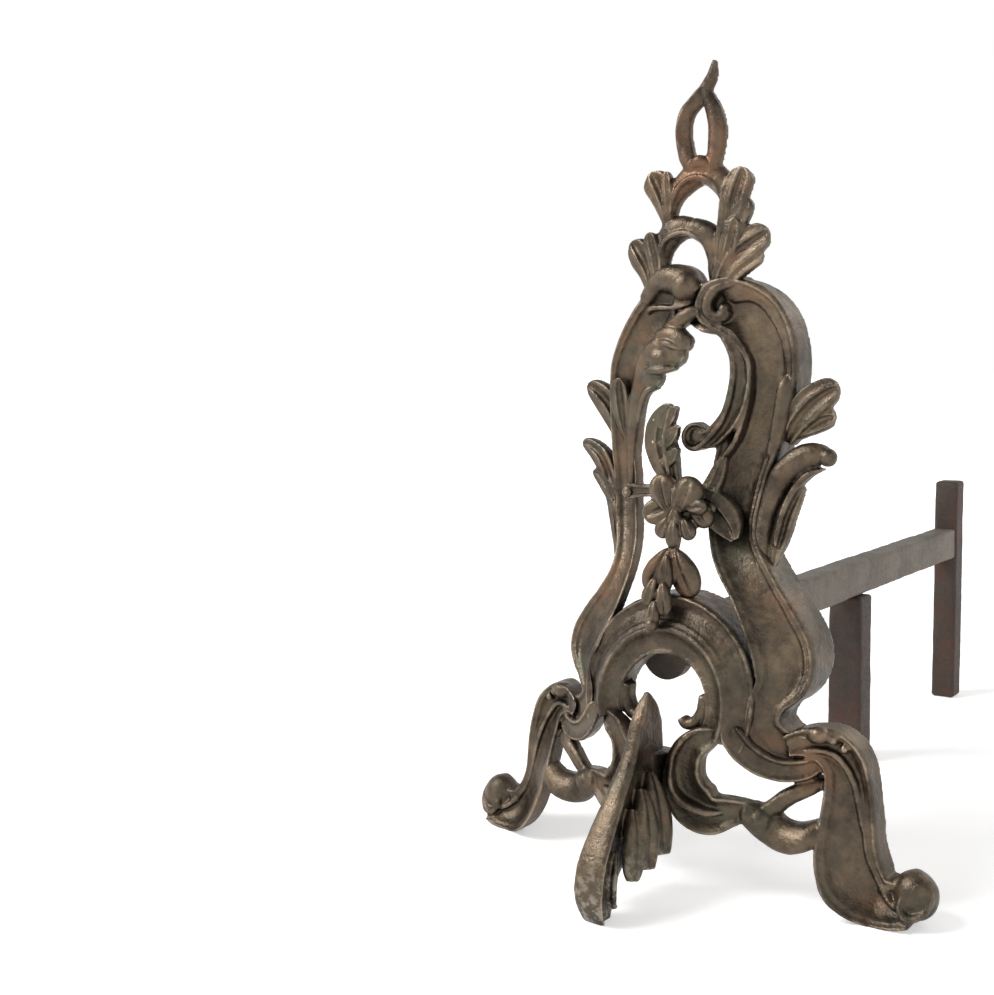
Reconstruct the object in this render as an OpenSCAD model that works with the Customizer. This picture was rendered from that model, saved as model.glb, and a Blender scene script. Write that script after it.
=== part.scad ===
// Andiron of the rococo type: a bronze front on three feet and a wrought iron log bar.
// The front is drawn flat, x across and z up, and laid over one bowed surface.

/* [Front] */
// Height of the front, floor to flame tip
front_height = 400; // [340:5:450]
// Width over the toes of the two side feet
foot_span = 258; // [224:2:310]
// How far the middle of the base bows forward of the lyre's lower corners
bow_depth = 34; // [22:1:42]
// Front-to-back depth of the lyre's scrolls
scroll_depth = 19; // [16:1:24]
// Thickness of metal behind the hollowed channels
wall = 4.5; // [3.5:0.5:6]

/* [Middle foot] */
// How far the middle foot reaches in front of the lyre's lower corners
toe_reach = 90; // [78:1:108]
// Width of the middle foot's fin
fin_width = 8; // [6:0.5:10]

/* [Iron] */
// Length of the billet bar between front plate and rear post
bar_length = 378; // [240:2:520]
// Width of the billet bar
bar_width = 16; // [14:1:20]
// Height of the billet bar
bar_height = 22; // [18:1:24]
// Height of the rear post
post_height = 164; // [150:2:200]
// Front-to-back thickness of the rear post
post_depth = 17; // [14:1:22]
// Distance from the front plate to the middle foot
mid_setback = 190; // [120:5:220]
// Width of the middle foot under the bar
mid_width = 22; // [18:1:28]
// Thickness of the middle foot under the bar
mid_depth = 19; // [16:1:24]
// Thickness of the plate behind the arch
plate_depth = 7; // [6:0.5:10]

/* [Joints] */
// Gap round each tenon and screw shank
fit_gap = 0.2; // [0.1:0.05:0.4]
// Diameter of the screws
screw_size = 6; // [5:0.5:7]
// Diameter of the rivets that hold the flower spray
rivet_size = 3; // [2.5:0.5:4]

/* [Hidden] */
bronze = [0.36, 0.30, 0.23];
iron = [0.40, 0.37, 0.34];
rust_iron = [0.33, 0.26, 0.23];

// The flat drawing is 258 wide and 400 high; these carry it to the sizes above
wide = foot_span / 258;
tall = front_height / 400;

// Flat seats behind the arch and at the root of the middle foot
pad_y = bow(0, 118) + 29.5;
pad_z = 118 * tall;
seat_y = 8 - bow_depth;
seat_z = 52 * tall;

web_depth = 10;

// Radius of the ball each side foot rolls up into
toe_r = 10.5;

// Iron, from front to back
plate_back = pad_y + plate_depth;
bar_base = pad_z - bar_height / 2;
post_y = plate_back + bar_length;
post_back = post_y + post_depth;
mid_y = plate_back + mid_setback;
centre_y = (post_back - toe_reach) / 2;
post_width = bar_width + 1;
tenon_w = bar_width - 6;
tenon_h = bar_height - 8;
mid_tenon = 9;
mid_rise = 12;

// Plate behind the arch: two round lobes below and two ears for the screws
lobe_x = 15;
lobe_r = 13;
ear_x = 18;
screw_z = pad_z + 6;
screw_grip = 9;

// Root of the middle foot, between the C-scrolls
root_w = 7.8 * wide - 1.2;
root_gap = 0.4;

// Seats of the flower spray on the rims: x and z on the flat drawing, then the seat's y
spray_lugs = [[-37, 189, bow(-37, 183) - 0.5], [14, 184, bow(14, 178) - 0.5]];
lug_r = 4.4;
lug_depth = 4;
rivet_grip = 6;

// ---- curves ----

function clamp(v, low, high) = min(max(v, low), high);
function ease(v) = let (c = clamp(v, 0, 1)) c * c * (3 - 2 * c);

// Front-to-back place of the bowed surface at a point of the flat drawing
function bow(x, z) =
    let (rise = ease((z - 80) / 120), side = pow(ease(abs(x) / 90), 1.5))
    -bow_depth + (bow_depth + 10) * rise + (1 - 0.6 * rise) * bow_depth * side
    - 16 * pow(max(0, 1 - z / 40), 2)
    - 16 * ease((70 - z) / 50) * ease((abs(x) - 50) / 25) * ease((104 - abs(x)) / 24);

function on_bow(x, z, y) = [x * wide, bow(x, z) + y, z * tall];

// Curve through four neighbouring rows of numbers, t of the way from b to c
function knot(a, b, c, d, t) =
    (2 * b + (c - a) * t + (2 * a - 5 * b + 4 * c - d) * t * t
     + (3 * b - a - 3 * c + d) * t * t * t) / 2;

function smooth(rows, steps) =
    let (last = len(rows) - 1)
    [for (i = [0:last - 1], k = [0:steps - 1])
        knot(rows[max(i - 1, 0)], rows[i], rows[i + 1], rows[min(i + 2, last)], k / steps),
     rows[last]];

// Direction square to the path at row i, in the flat drawing
function across(rows, i) =
    let (a = rows[max(i - 1, 0)], b = rows[min(i + 1, len(rows) - 1)], run = [b[0] - a[0], b[1] - a[1]])
    [-run[1], run[0]] / norm(run);

// ---- solids ----

// Skin over flat rings of equal count, closed at both ends
module loft(rings) {
    count = len(rings[0]);
    last = len(rings) - 1;
    polyhedron(
        points = [for (r = rings) each r],
        faces = concat(
            [for (k = [0:last - 1], i = [0:count - 1])
                let (j = (i + 1) % count, a = k * count, b = a + count)
                each [[a + i, a + j, b + j], [a + i, b + j, b + i]]],
            [[for (i = [count - 1:-1:0]) i]],
            [[for (i = [0:count - 1]) last * count + i]]));
}

// Sections: the face as [place across, set back as a share of the half width], then the
// back as [place across, the face's set back there, 1 for full depth or 0 for the wall alone]
function channel(left, right) = [
    [[-1, 0.14], [-0.86, 0], [-0.66, 0.1], [-0.42, 0.38], [0.42, 0.38], [0.66, 0.1], [0.86, 0], [1, 0.14]],
    [[1, 0.14, right], [0.56, 0.2, 0.1], [-0.56, 0.2, 0.1], [-1, 0.14, left]]];
leg_face = [channel(1, 1)[0], [[1, 0.14, 1], [-1, 0.14, 0.5]]];
shell = [
    [[-1, 0.4], [-0.78, 0], [-0.4, 0.34], [0.4, 0.34], [0.78, 0], [1, 0.4]],
    [[1, 0.4, 1], [-1, 0.4, 1]]];
roll = [[[-1, 0.8], [-0.5, 0.1], [0.5, 0.1], [1, 0.8]], [[1, 0.8, 1], [-1, 0.8, 1]]];
blade = [[[-1, 0.1], [-0.5, 0.42], [0, 0.05], [0.5, 0.42], [1, 0.1]], [[1, 0.1, 1], [-1, 0.1, 1]]];
arch_face = [
    [[-1, 0.66], [-0.9, 0.56], [-0.5, 0.42], [-0.12, 0.03], [0.04, 0], [0.16, 0.12], [0.55, 0.24],
     [0.82, 0.1], [0.92, 0], [1, 0.1]],
    [[1, 0.1, 1], [0.6, 0.24, 0.2], [-0.5, 0.42, 0.4], [-1, 0.66, 1]]];

// Moulding laid along rows of [x, z, half width, depth, lift]
module band(rows, section, steps = 1, deep = 1) {
    path = smooth(rows, steps);
    loft([for (i = [0:len(path) - 1])
        let (r = path[i], n = across(path, i))
        concat(
            [for (s = section[0])
                on_bow(r[0] + n[0] * s[0] * r[2], r[1] + n[1] * s[0] * r[2], r[4] + s[1] * r[2])],
            [for (s = section[1])
                on_bow(r[0] + n[0] * s[0] * r[2], r[1] + n[1] * s[0] * r[2],
                    r[4] + s[1] * r[2] + (1 - s[2]) * wall + s[2] * (r[3] * deep - s[1] * r[2]))])]);
}

// Rounded boss on the bowed surface, stretched as the drawing is
module knob(x, z, r, lift = 0, depth = 0, stretch = [wide, 1, tall]) {
    round = r > 9 ? 12 : r > 4.8 ? 8 : 6;
    hull() {
        translate(on_bow(x, z, lift + r))
            scale(stretch) sphere(r / cos(180 / round), $fn = round);
        translate(on_bow(x, z, lift + max(depth, r * 1.1)))
            scale(stretch) sphere(r * 0.9, $fn = round);
    }
}

// ---- front casting ----

module big_scroll() {
    band([[-7, 277, 3, 12, 2], [-4, 279, 8, 14, 1], [1, 281, 11.5, 16, 0], [9, 282, 13.5, 18, 0],
          [21, 281, 14.5, 19, 0], [31, 274, 15.2, 19, 0], [36.5, 260, 14.8, 19, 0],
          [36.5, 242, 14.2, 19, 0],
          [30, 221, 15.6, 19, 0], [24, 201, 14.6, 20, 0], [22, 180, 13, 21, 0], [26, 164, 11.6, 22, 0],
          [38, 147, 10.6, 23, 0], [48, 132, 11.4, 25, 0], [56, 117, 12.5, 25, 0], [57, 105, 11.5, 25, 0],
          [52, 95, 8, 23, 0.5], [51, 85, 7, 20, 1], [57, 76, 7.5, 18, 1.5], [66, 73, 7, 16, 2]],
          channel(0.15, 1), 2, scroll_depth / 19);
    // coil of the head
    band([[20, 293.4, 1.6, 14, -0.4], [12.5, 291.6, 2.2, 15, -0.6], [8, 287.5, 2.4, 16, -0.8],
          [6.6, 282, 2.4, 16, -0.8], [9, 277.6, 2.4, 16, -0.4], [13.5, 276.6, 2.2, 16, 0.4],
          [17.5, 279.4, 2, 16, 1.4]], roll);
    // slope inside the outer rim, and the swelling it ends in
    band([[18, 288, 4.8, 9, 1.4], [27, 288.6, 4.4, 9, 1], [35, 285.4, 4, 9, 1], [41, 278.6, 3.8, 9, 1],
          [45, 269.5, 3.4, 9, 1], [47, 260, 3, 9, 1.2], [47, 251, 2, 8, 1.6]], shell);
    knob(46, 243, 4.6, -2.4, 12);
}

module small_scroll() {
    band([[-6, 287, 3, 14, 0], [-13, 290, 6.4, 15, 0], [-23, 280, 12.3, 18, 0], [-34, 268, 12.2, 19, 0],
          [-43, 254, 10.8, 19, 0], [-46, 238, 9.2, 19, 0], [-46, 220, 8.4, 19, 0], [-44, 199, 8.4, 20, 0],
          [-41, 179, 7.8, 21, 0], [-37, 163, 7.4, 22, 0], [-37, 149, 7.6, 23, 0], [-42, 134, 9.8, 25, 0],
          [-50, 120, 12.5, 25, 0], [-55, 108, 12.5, 25, 0], [-50, 96, 6.5, 20, 0.5], [-46, 87, 5.5, 18, 1],
          [-52, 78, 6.5, 16, 1.5], [-62, 74, 6.5, 14, 2]], channel(1, 0.15), 2, scroll_depth / 19);
    band([[-31, 287, 4, 12, 0], [-22, 296, 6, 14, -2], [-13, 297, 7.5, 15, -4], [-5, 294, 8, 15, -4],
          [1, 289, 4, 14, -2]], roll);
    knob(-5, 293, 8, -6, 12);
}

// Rim that runs down inside the big scroll and curls up round the opening
module inner_curl() {
    band([[12, 271.5, 2.6, 14, 0], [18, 267.5, 3.6, 14, -0.6], [23, 260, 4.4, 15, -1.2],
          [25.2, 251, 4.6, 15, -2], [24.8, 242, 4.8, 16, -3], [22.2, 233, 5, 16, -3],
          [17.4, 225, 5, 16, -3], [10, 218, 5, 15, -3], [3, 216, 4, 14, -2]], shell);
    knob(2, 218.5, 6.4, -3.4, 12);
}

module arch() {
    band([for (a = [200:-16:-24])
        let (t = sin(clamp(a, 0, 180)), r = 35.5 + t * 1.5)
        [r * cos(a), 90 + r * sin(a), 11.5 + 3 * t, 23, 0]], arch_face);
    for (s = [-1, 1])
        scale([s, 1, 1])
            band([[22, 96, 3, 9, 8], [22, 89, 3.4, 9, 8], [19, 83, 3.4, 9, 8], [14, 81, 2.6, 8, 8],
                  [11, 84, 1.8, 7, 8]], roll);
}

// One side of the base: C-scroll, brace, leg and toe
module base_side() {
    band([[33, 80, 4, 10, 1], [26, 77, 6, 10, 0], [19, 71, 7.6, 10, 0], [15.6, 60.5, 9.4, 10, 0],
          [16.6, 50.5, 11.6, 10, 0], [21.6, 43.6, 12.2, 10, 0], [29, 40.4, 10.4, 10, 0],
          [37, 41.8, 7.6, 10, 0], [44, 43.4, 6, 10, 0]], shell);
    // brace with its swelling, and the strut above it
    knob(49, 38, 8, -2.4, 10);
    band([[43, 44, 5.4, 9, 0], [49, 38.5, 7.4, 10, -0.6], [57, 32.6, 8, 10, -0.6], [66, 32.4, 6.8, 10, 0],
          [76, 36.6, 5.6, 10, 0], [81, 42, 4, 10, 0]], roll);
    band([[46, 41, 4, 8, 0.6], [54, 45, 4.2, 8, 0.4], [61, 50.4, 4.2, 8, 0.4], [68, 54.6, 4, 8, 0.4],
          [76, 58, 3.4, 9, 1]], roll);
    band([[36, 90, 3.4, 13, 1.5], [38, 82, 5, 13, -0.6], [43.4, 73.4, 5.8, 12, -1.4],
          [51, 66.6, 5.8, 12, -1.5], [59, 63.6, 5.6, 12, -1.5], [67, 64, 5.2, 12, -1],
          [75, 67, 4, 11, 0]], shell);
    band([[60, 75, 5, 14, 0], [68, 77, 7, 14, 0], [77, 75, 9, 15, 0], [84, 68, 10, 15, 0],
          [87, 56, 10.8, 14, 0], [88, 42, 11.6, 14, 0], [89, 29, 12.2, 14, 0], [93, 18, 12, 15, 0],
          [101, 10.4, 10.6, 14, 0],
          [110, 9.4, 9.6, 12, 0], [118, 11, 9.4, 11, 0]], leg_face, 2);
    knob((foot_span / 2 - toe_r) / wide, 12, toe_r, -1.6, 10, [1, 1, 1]);
    knob(73, 81, 4.2, -3, 10);
    knob(79, 79, 2.6, -2, 7);
    knob(84, 75, 2, -1, 6);
    knob(62, 104, 6, 8, 18);
}

// Leaf of [x, z, half width, depth, lift] rows
module leaf(rows) band(rows, blade);

module lyre_leaves() {
    leaf([[-49, 214, 5, 8, 4], [-52, 225, 8, 8, 2], [-59, 235, 8.5, 7, 0], [-66, 241, 5.5, 6, -1],
          [-72, 245, 1.5, 4, -1]]);
    leaf([[-46, 222, 5, 8, 0], [-46.5, 232, 7, 8, -2], [-47, 241, 6.5, 7, -3], [-45, 249, 2, 5, -3]]);
    leaf([[-46, 155, 2.5, 9, 6], [-51, 175, 4.5, 9, 2], [-56, 193, 6, 8, 0], [-62, 205, 6.5, 7, -1],
          [-70, 212, 4, 6, -1], [-77, 213, 1.2, 4, 0]]);
    leaf([[-44, 170, 3, 8, 4], [-51, 182, 4.5, 8, 1], [-60, 192, 4, 6, 0], [-69, 199, 1.2, 4, 0]]);
    leaf([[44, 218, 4, 8, 4], [51, 227, 6.5, 8, 0], [59, 236, 7, 8, -1], [66, 241, 5, 7, -1],
          [70, 244, 1.5, 4, 0]]);
    leaf([[48, 222, 4, 8, 3], [57, 227, 5.5, 8, 2], [64, 229, 4, 6, 2], [68, 229, 1.5, 4, 2]]);
    band([[40, 150, 2.5, 10, 2], [37, 167, 3.6, 10, 1], [38, 184, 5, 10, 0], [44, 199, 6.4, 9, -2],
          [54, 208, 7, 8, -3], [62, 210, 5.6, 7, -3], [67, 208, 3, 5, -1]], roll, 2);
    knob(66, 209, 4.6, -4, 5);
    leaf([[43, 152, 3, 6, 5], [44, 168, 4.6, 6, 4], [46, 181, 5, 6, 3], [50, 191, 3.4, 5, 3],
          [52, 197, 1.2, 4, 3]]);
}

// Acanthus stem inside the small scroll: each bell of leaf grows out of the one below
module knuckle_stem() {
    band([[-40, 190, 2, 9, 0], [-39.4, 206, 3, 9, -1], [-38, 221, 4, 9, -2], [-35, 236, 5.2, 8, -3],
          [-30, 247, 6, 8, -4], [-23, 249, 5.4, 7, -5], [-17.5, 245, 2.6, 6, -4]], roll, 2);
    band([[-34, 245, 3.4, 8, -2], [-28, 256, 6.4, 9, -4], [-18.5, 261.5, 8.6, 10, -5.6],
          [-11, 260, 7.4, 9, -5], [-4.5, 256.6, 3.4, 6, -3]], roll, 2);
    band([[-21, 268, 4, 8, -3], [-12, 268.4, 6, 8, -5], [-5, 265, 4.8, 7, -5],
          [-0.5, 261.6, 2, 5, -3]], roll, 2);
    band([[-17, 271, 3, 8, -1], [-10, 275, 4, 8, -3], [-3, 279, 4, 8, -3], [3, 281, 3, 8, -1]], roll);
}

module crest() {
    // lower arch of two folded leaves
    band([[12, 290, 4, 8, 2], [10, 298, 4.8, 8, 2], [10, 307, 5.4, 7, 1], [6, 317, 6, 7, 0],
          [-3, 322, 5, 7, 0]], roll);
    band([[-1, 321, 4.5, 7, 1], [-9, 322, 6.4, 7, 0], [-16, 319, 7, 7, 0], [-22, 311, 6.4, 7, 1],
          [-25, 300, 6, 8, 1],
          [-27, 288, 5, 9, 2]], roll);
    // upper arch
    band([[-18, 321, 3, 7, 2], [-16, 330, 3.8, 7, 1], [-12, 339, 5.4, 7, 0], [-4, 346, 6.6, 7, 0],
          [4, 348, 6.4, 7, 0],
          [12, 343, 6, 7, 0], [17, 335, 5.2, 7, 0], [19, 324, 5.4, 7, 0], [16, 312, 5, 7, 1],
          [12, 300, 4, 8, 2]], roll);
    leaf([[-16, 322, 2.5, 6, 2], [-18, 331, 4, 6, 0], [-21, 341, 6.5, 5, -1], [-25, 348, 5, 5, -1],
          [-28, 353, 1.6, 4, 0]]);
    leaf([[-26, 290, 4, 7, 2], [-28, 300, 5.4, 6, 0], [-32, 309, 6.8, 6, -1], [-37, 315, 5, 5, 0],
          [-41, 319, 1.6, 4, 1]]);
    leaf([[14, 308, 4, 6, 0], [18, 322, 5.6, 5, -1], [21, 335, 6.6, 5, -2], [24, 344, 5, 5, -1],
          [26, 350, 1.8, 4, 0]]);
    leaf([[18, 318, 3, 5, 1], [22, 326, 4.2, 5, 0], [26, 330, 1.4, 4, 1]]);
    leaf([[11, 292, 4, 7, 1], [17, 302, 6, 6, -1], [25, 310, 7.2, 5, -2], [34, 316, 5, 5, -1],
          [40, 319, 1.6, 4, 0]]);
    leaf([[14, 293, 3, 6, 1], [24, 302, 4.6, 5, 0], [31, 306, 3.4, 5, 1], [36, 308, 1.2, 4, 1]]);
    leaf([[15, 302, 3, 6, 1], [21, 313, 4.6, 5, 0], [27, 321, 3.4, 4, 1], [30, 325, 1.2, 4, 1]]);
    // flame
    band([[0, 347, 3, 6, 0], [-5, 355, 4.4, 6, 0], [-7.5, 366, 4.6, 6, 0], [-6, 376, 4.4, 6, 0],
          [0, 382, 4, 5, 0],
          [5, 387, 3.6, 5, 0], [9, 393, 2.8, 4, 0], [11, 399.7, 1.2, 3, 0]], roll);
    band([[8, 346, 3, 6, 0], [10, 356, 4.4, 6, 0], [11, 367, 4.8, 6, 0], [9, 377, 4.2, 6, 0],
          [5, 386, 3, 5, 0]], roll, 2);
}

// Flat block that the plate bears on, filling in behind the crown of the arch
module arch_pad() {
    translate([-ear_x - 7, pad_y - 16, pad_z - 5 * tall]) cube([2 * ear_x + 14, 16, 22 * tall]);
}

// Web between the two C-scrolls, with the flat that the middle foot seats on
module base_web() {
    translate([-16 * wide, seat_y, seat_z - 14]) cube([32 * wide, web_depth, 28]);
}

// Round flats on the inner rims that carry the flower spray
module spray_seats() {
    for (s = spray_lugs)
        translate([s[0] * wide, s[2], s[1] * tall])
            rotate([-90, 0, 0]) cylinder(r = lug_r, h = 8, $fn = 14);
}

module front_casting() {
    color(bronze)
        translate([0, -centre_y, 0])
            difference() {
                union() {
                    big_scroll();
                    small_scroll();
                    inner_curl();
                    arch();
                    base_side();
                    mirror([1, 0, 0]) base_side();
                    lyre_leaves();
                    knuckle_stem();
                    crest();
                    arch_pad();
                    base_web();
                    spray_seats();
                }
                translate([-200, -200, -60]) cube([400, 400, 60]);
                translate([-60, pad_y, pad_z - 30]) cube([120, 60, 60]);
                for (x = [-ear_x, ear_x])
                    along_y([x, pad_y, screw_z], -screw_grip, screw_size / 2 + fit_gap);
                along_y([0, seat_y + web_depth, seat_z], -web_depth - 1, screw_size / 2 + fit_gap);
                // slot between the C-scrolls for the root of the middle foot
                translate([-root_w - root_gap, seat_y - 40, seat_z - 13 - root_gap])
                    cube([2 * (root_w + root_gap), 40, 28 + 2 * root_gap]);
                for (s = spray_lugs)
                    along_y([s[0] * wide, s[2], s[1] * tall], rivet_grip, rivet_size / 2 + fit_gap);
            }
}

// Round hole from a point on its mouth, running len along y; a little starts outside the mouth
module along_y(mouth, len, r) {
    out = len > 0 ? -1 : 1;
    translate([mouth[0], min(mouth[1] + len, mouth[1] + out), mouth[2]])
        rotate([-90, 0, 0]) cylinder(r = r, h = abs(len) + 1, $fn = 28);
}

// ---- middle foot of the front ----

// Rows of [y, z, half height square to the path, half width] down the fin from its tip to the toe
fin = [[-37.3, 98, 0.9, 0.4], [-37.2, 93, 6, 0.7], [-37.2, 86, 11, 0.9], [-38, 75, 15.5, 1],
       [-40.5, 63.5, 18.5, 1.05], [-47.5, 52.5, 19.5, 1.15], [-60, 42.5, 17, 1.4], [-74, 32, 13, 1.75],
       [-83.5, 22.5, 10.5, 2], [-86.5, 13.5, 9, 2], [-85.5, 6, 7.4, 1.7], [-83, 0, 5.4, 1.3],
       [-81.5, -5, 3, 0.8]];
lens = [[-1, -0.5, 0.5], [-0.8, -0.86, 0.8], [0, -1, 1], [0.8, -0.86, 0.8], [1, -0.5, 0.5]];

function fin_ring(path, i) =
    let (r = path[i], a = path[max(i - 1, 0)], b = path[min(i + 1, len(path) - 1)],
         run = [b[0] - a[0], b[1] - a[1]] / norm([b[0] - a[0], b[1] - a[1]]))
    concat([for (s = lens)
               [s[0] * r[3] * fin_width / 2, r[0] - run[1] * s[1] * r[2], r[1] + run[0] * s[1] * r[2]]],
           [for (k = [len(lens) - 1:-1:0]) let (s = lens[k])
               [s[0] * r[3] * fin_width / 2, r[0] - run[1] * s[2] * r[2], r[1] + run[0] * s[2] * r[2]]]);

fin_path = smooth(fin, 2);
fin_rings = [for (i = [0:len(fin_path) - 1]) fin_ring(fin_path, i)];
fin_front = min([for (r = fin_rings, p = r) p[2] > 0 ? p[1] : 0]);
reach = (toe_reach + seat_y) / (seat_y - fin_front);

function foot_y(y) = seat_y + (y - seat_y) * reach;

// Finger of the leaf on each side of the toe: root and tip as [x, y, z, r]
fingers = [[[4, -50, 50, 7], [12.4, -46, 30.4, 4.6]], [[5, -59, 46, 7], [13, -55, 22.6, 5]],
           [[6, -69, 40, 6.6], [12, -68, 23.6, 4.6]], [[6, -78, 33, 6], [10, -79, 23.4, 4.2]]];

module console_foot() {
    color(bronze)
        translate([0, -centre_y, 0])
            difference() {
                union() {
                    loft([for (r = fin_rings) [for (p = r) [p[0], foot_y(p[1]), p[2] * tall]]]);
                    for (side = [-1, 1], f = fingers)
                        hull()
                            for (e = f)
                                translate([side * e[0], foot_y(e[1]), e[2] * tall])
                                    scale([0.7, 1, 1]) sphere(e[3], $fn = 8);
                    hull()
                        for (e = [[-84, 6.4, 6.4], [-79.6, 5.6, 5.2]])
                            translate([0, foot_y(e[0]), e[1] * tall])
                                scale([1.2, 1, 1]) sphere(e[2], $fn = 12);
                    hull()
                        for (z = [-11, 13]) {
                            translate([-root_w, seat_y - 1, seat_z + z - 2]) cube([2 * root_w, 1, 4]);
                            translate([-fin_width / 2, foot_y(-40), seat_z + z - 2])
                                cube([fin_width, 1, 4]);
                        }
                }
                translate([-50, -200, -60]) cube([100, 400, 60]);
                translate([-50, seat_y, 0]) cube([100, 40, 120]);
                along_y([0, seat_y, seat_z], -screw_grip, screw_size / 2 + fit_gap);
            }
}

// ---- flower spray ----

// Petal from its root, turned from straight up, w half width, stretched as the drawing is
module petal(x, z, w, turn, lift) {
    translate(on_bow(x, z, lift))
        scale([wide, 1, tall])
            rotate([0, turn, 0])
                hull() {
                    translate([0, 3, 0]) scale([0.6, 0.5, 0.6]) sphere(w, $fn = 6);
                    translate([0, 0, w]) scale([1, 0.36, 0.8]) sphere(w, $fn = 8);
                }
}

module flower_spray() {
    color(bronze)
        translate([0, -centre_y, 0])
            difference() {
                union() {
                    for (turn = [25:72:313])
                        petal(-3 + 1.3 * sin(turn), 191 + 1.3 * cos(turn), 7.2, turn, -11);
                    knob(-3.3, 191.5, 4.5, -15.2, 8);
                    // leaf above the rose, then two cusps of its right edge
                    leaf([[-8, 194, 4, 6, -8], [-13.5, 205, 9, 6, -8], [-16, 216, 10.4, 5, -9],
                          [-14, 226, 8.6, 5, -9], [-8, 235, 3, 4, -9]]);
                    leaf([[-13, 203, 3, 5, -9], [-7, 209, 3.2, 5, -10], [-3, 215, 1, 4, -10]]);
                    leaf([[-14, 213, 3, 5, -9], [-7.5, 220, 3.2, 5, -10], [-3.5, 226, 1, 4, -10]]);
                    // leaf to the left and stem to the left rim
                    leaf([[-8, 188, 4, 5, -8], [-16, 184, 5.6, 5, -8], [-24, 180, 1.4, 4, -7]]);
                    band([[-10, 192, 2.8, 4, -7], [-22, 191, 3, 4, -7], [-31, 190, 3.4, 4, -6],
                          [-37, 189, 4, 3.4, -4.6]], roll);
                    // calyx over the right rim, and the leaf that climbs it
                    leaf([[3, 191, 4.6, 5.4, -8], [12, 186, 7.5, 6, -7], [19, 180, 8, 5.4, -6],
                          [24, 174, 6, 4.4, -5], [27, 169, 2, 3, -4]]);
                    leaf([[7, 187, 3.6, 5, -7], [12, 194, 4.8, 5, -6], [16, 203, 3.8, 4, -5],
                          [19, 209, 1.2, 4, -4]]);
                    for (s = spray_lugs)
                        translate([s[0] * wide, s[2] - lug_depth, s[1] * tall])
                            rotate([-90, 0, 0]) cylinder(r = lug_r - 0.4, h = lug_depth, $fn = 20);
                    // drop
                    petal(-8, 178, 5.4, 198, -8);
                    petal(1, 178, 5.4, 164, -8);
                    hull() {
                        translate(on_bow(-4, 182, -7)) sphere(3.4, $fn = 8);
                        translate(on_bow(-3, 158, -7)) sphere(3, $fn = 8);
                    }
                    petal(-6, 163, 9, 206, -8);
                    petal(0, 163, 9.4, 154, -8);
                    petal(-3, 158, 6.6, 181, -11);
                    petal(-6, 146, 5.4, 189, -9);
                    petal(-3.4, 139, 5, 176, -8.5);
                    knob(-3.6, 130.6, 3.6, -9, 3.6);
                }
                for (s = spray_lugs) {
                    along_y([s[0] * wide, s[2], s[1] * tall], -lug_depth - 1, rivet_size / 2 + fit_gap);
                    along_y([s[0] * wide, s[2] - lug_depth - 1, s[1] * tall], -20, rivet_size);
                    // nothing of the spray lies behind the flat of its seat
                    translate([s[0] * wide, s[2], s[1] * tall])
                        rotate([-90, 0, 0]) cylinder(r = lug_r + 2.6, h = 20, $fn = 14);
                }
            }
}

// ---- iron ----

// Forged billet with broken edges: w by h, len along z
module billet(w, h, len, broken = 1.4) {
    a = w / 2;
    b = h / 2;
    c = broken;
    linear_extrude(len)
        polygon([[-a + c, -b], [a - c, -b], [a, -b + c], [a, b - c],
                 [a - c, b], [-a + c, b], [-a, b - c], [-a, -b + c]]);
}

// Side view of a billet that lies on its edge, len long and h high, w thick
module billet_side(len, h, w, broken = 1.4) {
    a = len / 2;
    linear_extrude(w)
        polygon([[-a, broken], [-a + broken, 0], [a - broken, 0], [a, broken], [a, h - broken],
                 [a - broken, h], [-a + broken, h], [-a, h - broken]]);
}

module fixing_plate() {
    color(iron)
        translate([0, plate_back - centre_y, 0])
            rotate([90, 0, 0])
                linear_extrude(plate_depth)
                    difference() {
                        union() {
                            for (s = [-1, 1]) {
                                translate([s * lobe_x, pad_z - 12]) circle(r = lobe_r, $fn = 64);
                                translate([s * ear_x, screw_z]) circle(r = 9, $fn = 64);
                            }
                            translate([-lobe_x, pad_z - 16]) square([2 * lobe_x, 32]);
                            translate([-ear_x, screw_z - 9]) square([2 * ear_x, 18]);
                        }
                        square_at(0, pad_z, tenon_w + 2 * fit_gap, tenon_h + 2 * fit_gap);
                        for (s = [-1, 1])
                            translate([s * ear_x, screw_z]) circle(r = screw_size / 2 + fit_gap, $fn = 48);
                    }
}

module square_at(x, z, w, h) translate([x - w / 2, z - h / 2]) square([w, h]);

module billet_bar() {
    color(iron)
        translate([0, -centre_y, 0])
            difference() {
                union() {
                    // the ends are broken too, so that a log lies clear of plate and post
                    intersection() {
                        translate([0, plate_back, pad_z])
                            rotate([-90, 0, 0]) billet(bar_width, bar_height, bar_length);
                        translate([-bar_width, plate_back + bar_length / 2, bar_base])
                            rotate([90, 0, 90]) billet_side(bar_length, bar_height, 2 * bar_width);
                    }
                    translate([-tenon_w / 2, pad_y + 0.5, pad_z - tenon_h / 2])
                        cube([tenon_w, plate_depth, tenon_h]);
                    translate([-tenon_w / 2, post_y - 0.5, pad_z - tenon_h / 2])
                        cube([tenon_w, post_depth + 0.5, tenon_h]);
                }
                translate([-mid_tenon / 2 - fit_gap, mid_y + mid_depth / 2 - mid_tenon / 2 - fit_gap,
                           bar_base - 1])
                    cube([mid_tenon + 2 * fit_gap, mid_tenon + 2 * fit_gap, mid_rise + 1 + fit_gap]);
            }
}

module mid_foot() {
    color(rust_iron)
        translate([0, mid_y + mid_depth / 2 - centre_y, 0]) {
            billet(mid_width, mid_depth, bar_base);
            translate([-mid_tenon / 2, -mid_tenon / 2, bar_base - 1]) cube([mid_tenon, mid_tenon,
                mid_rise + 1]);
        }
}

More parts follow.
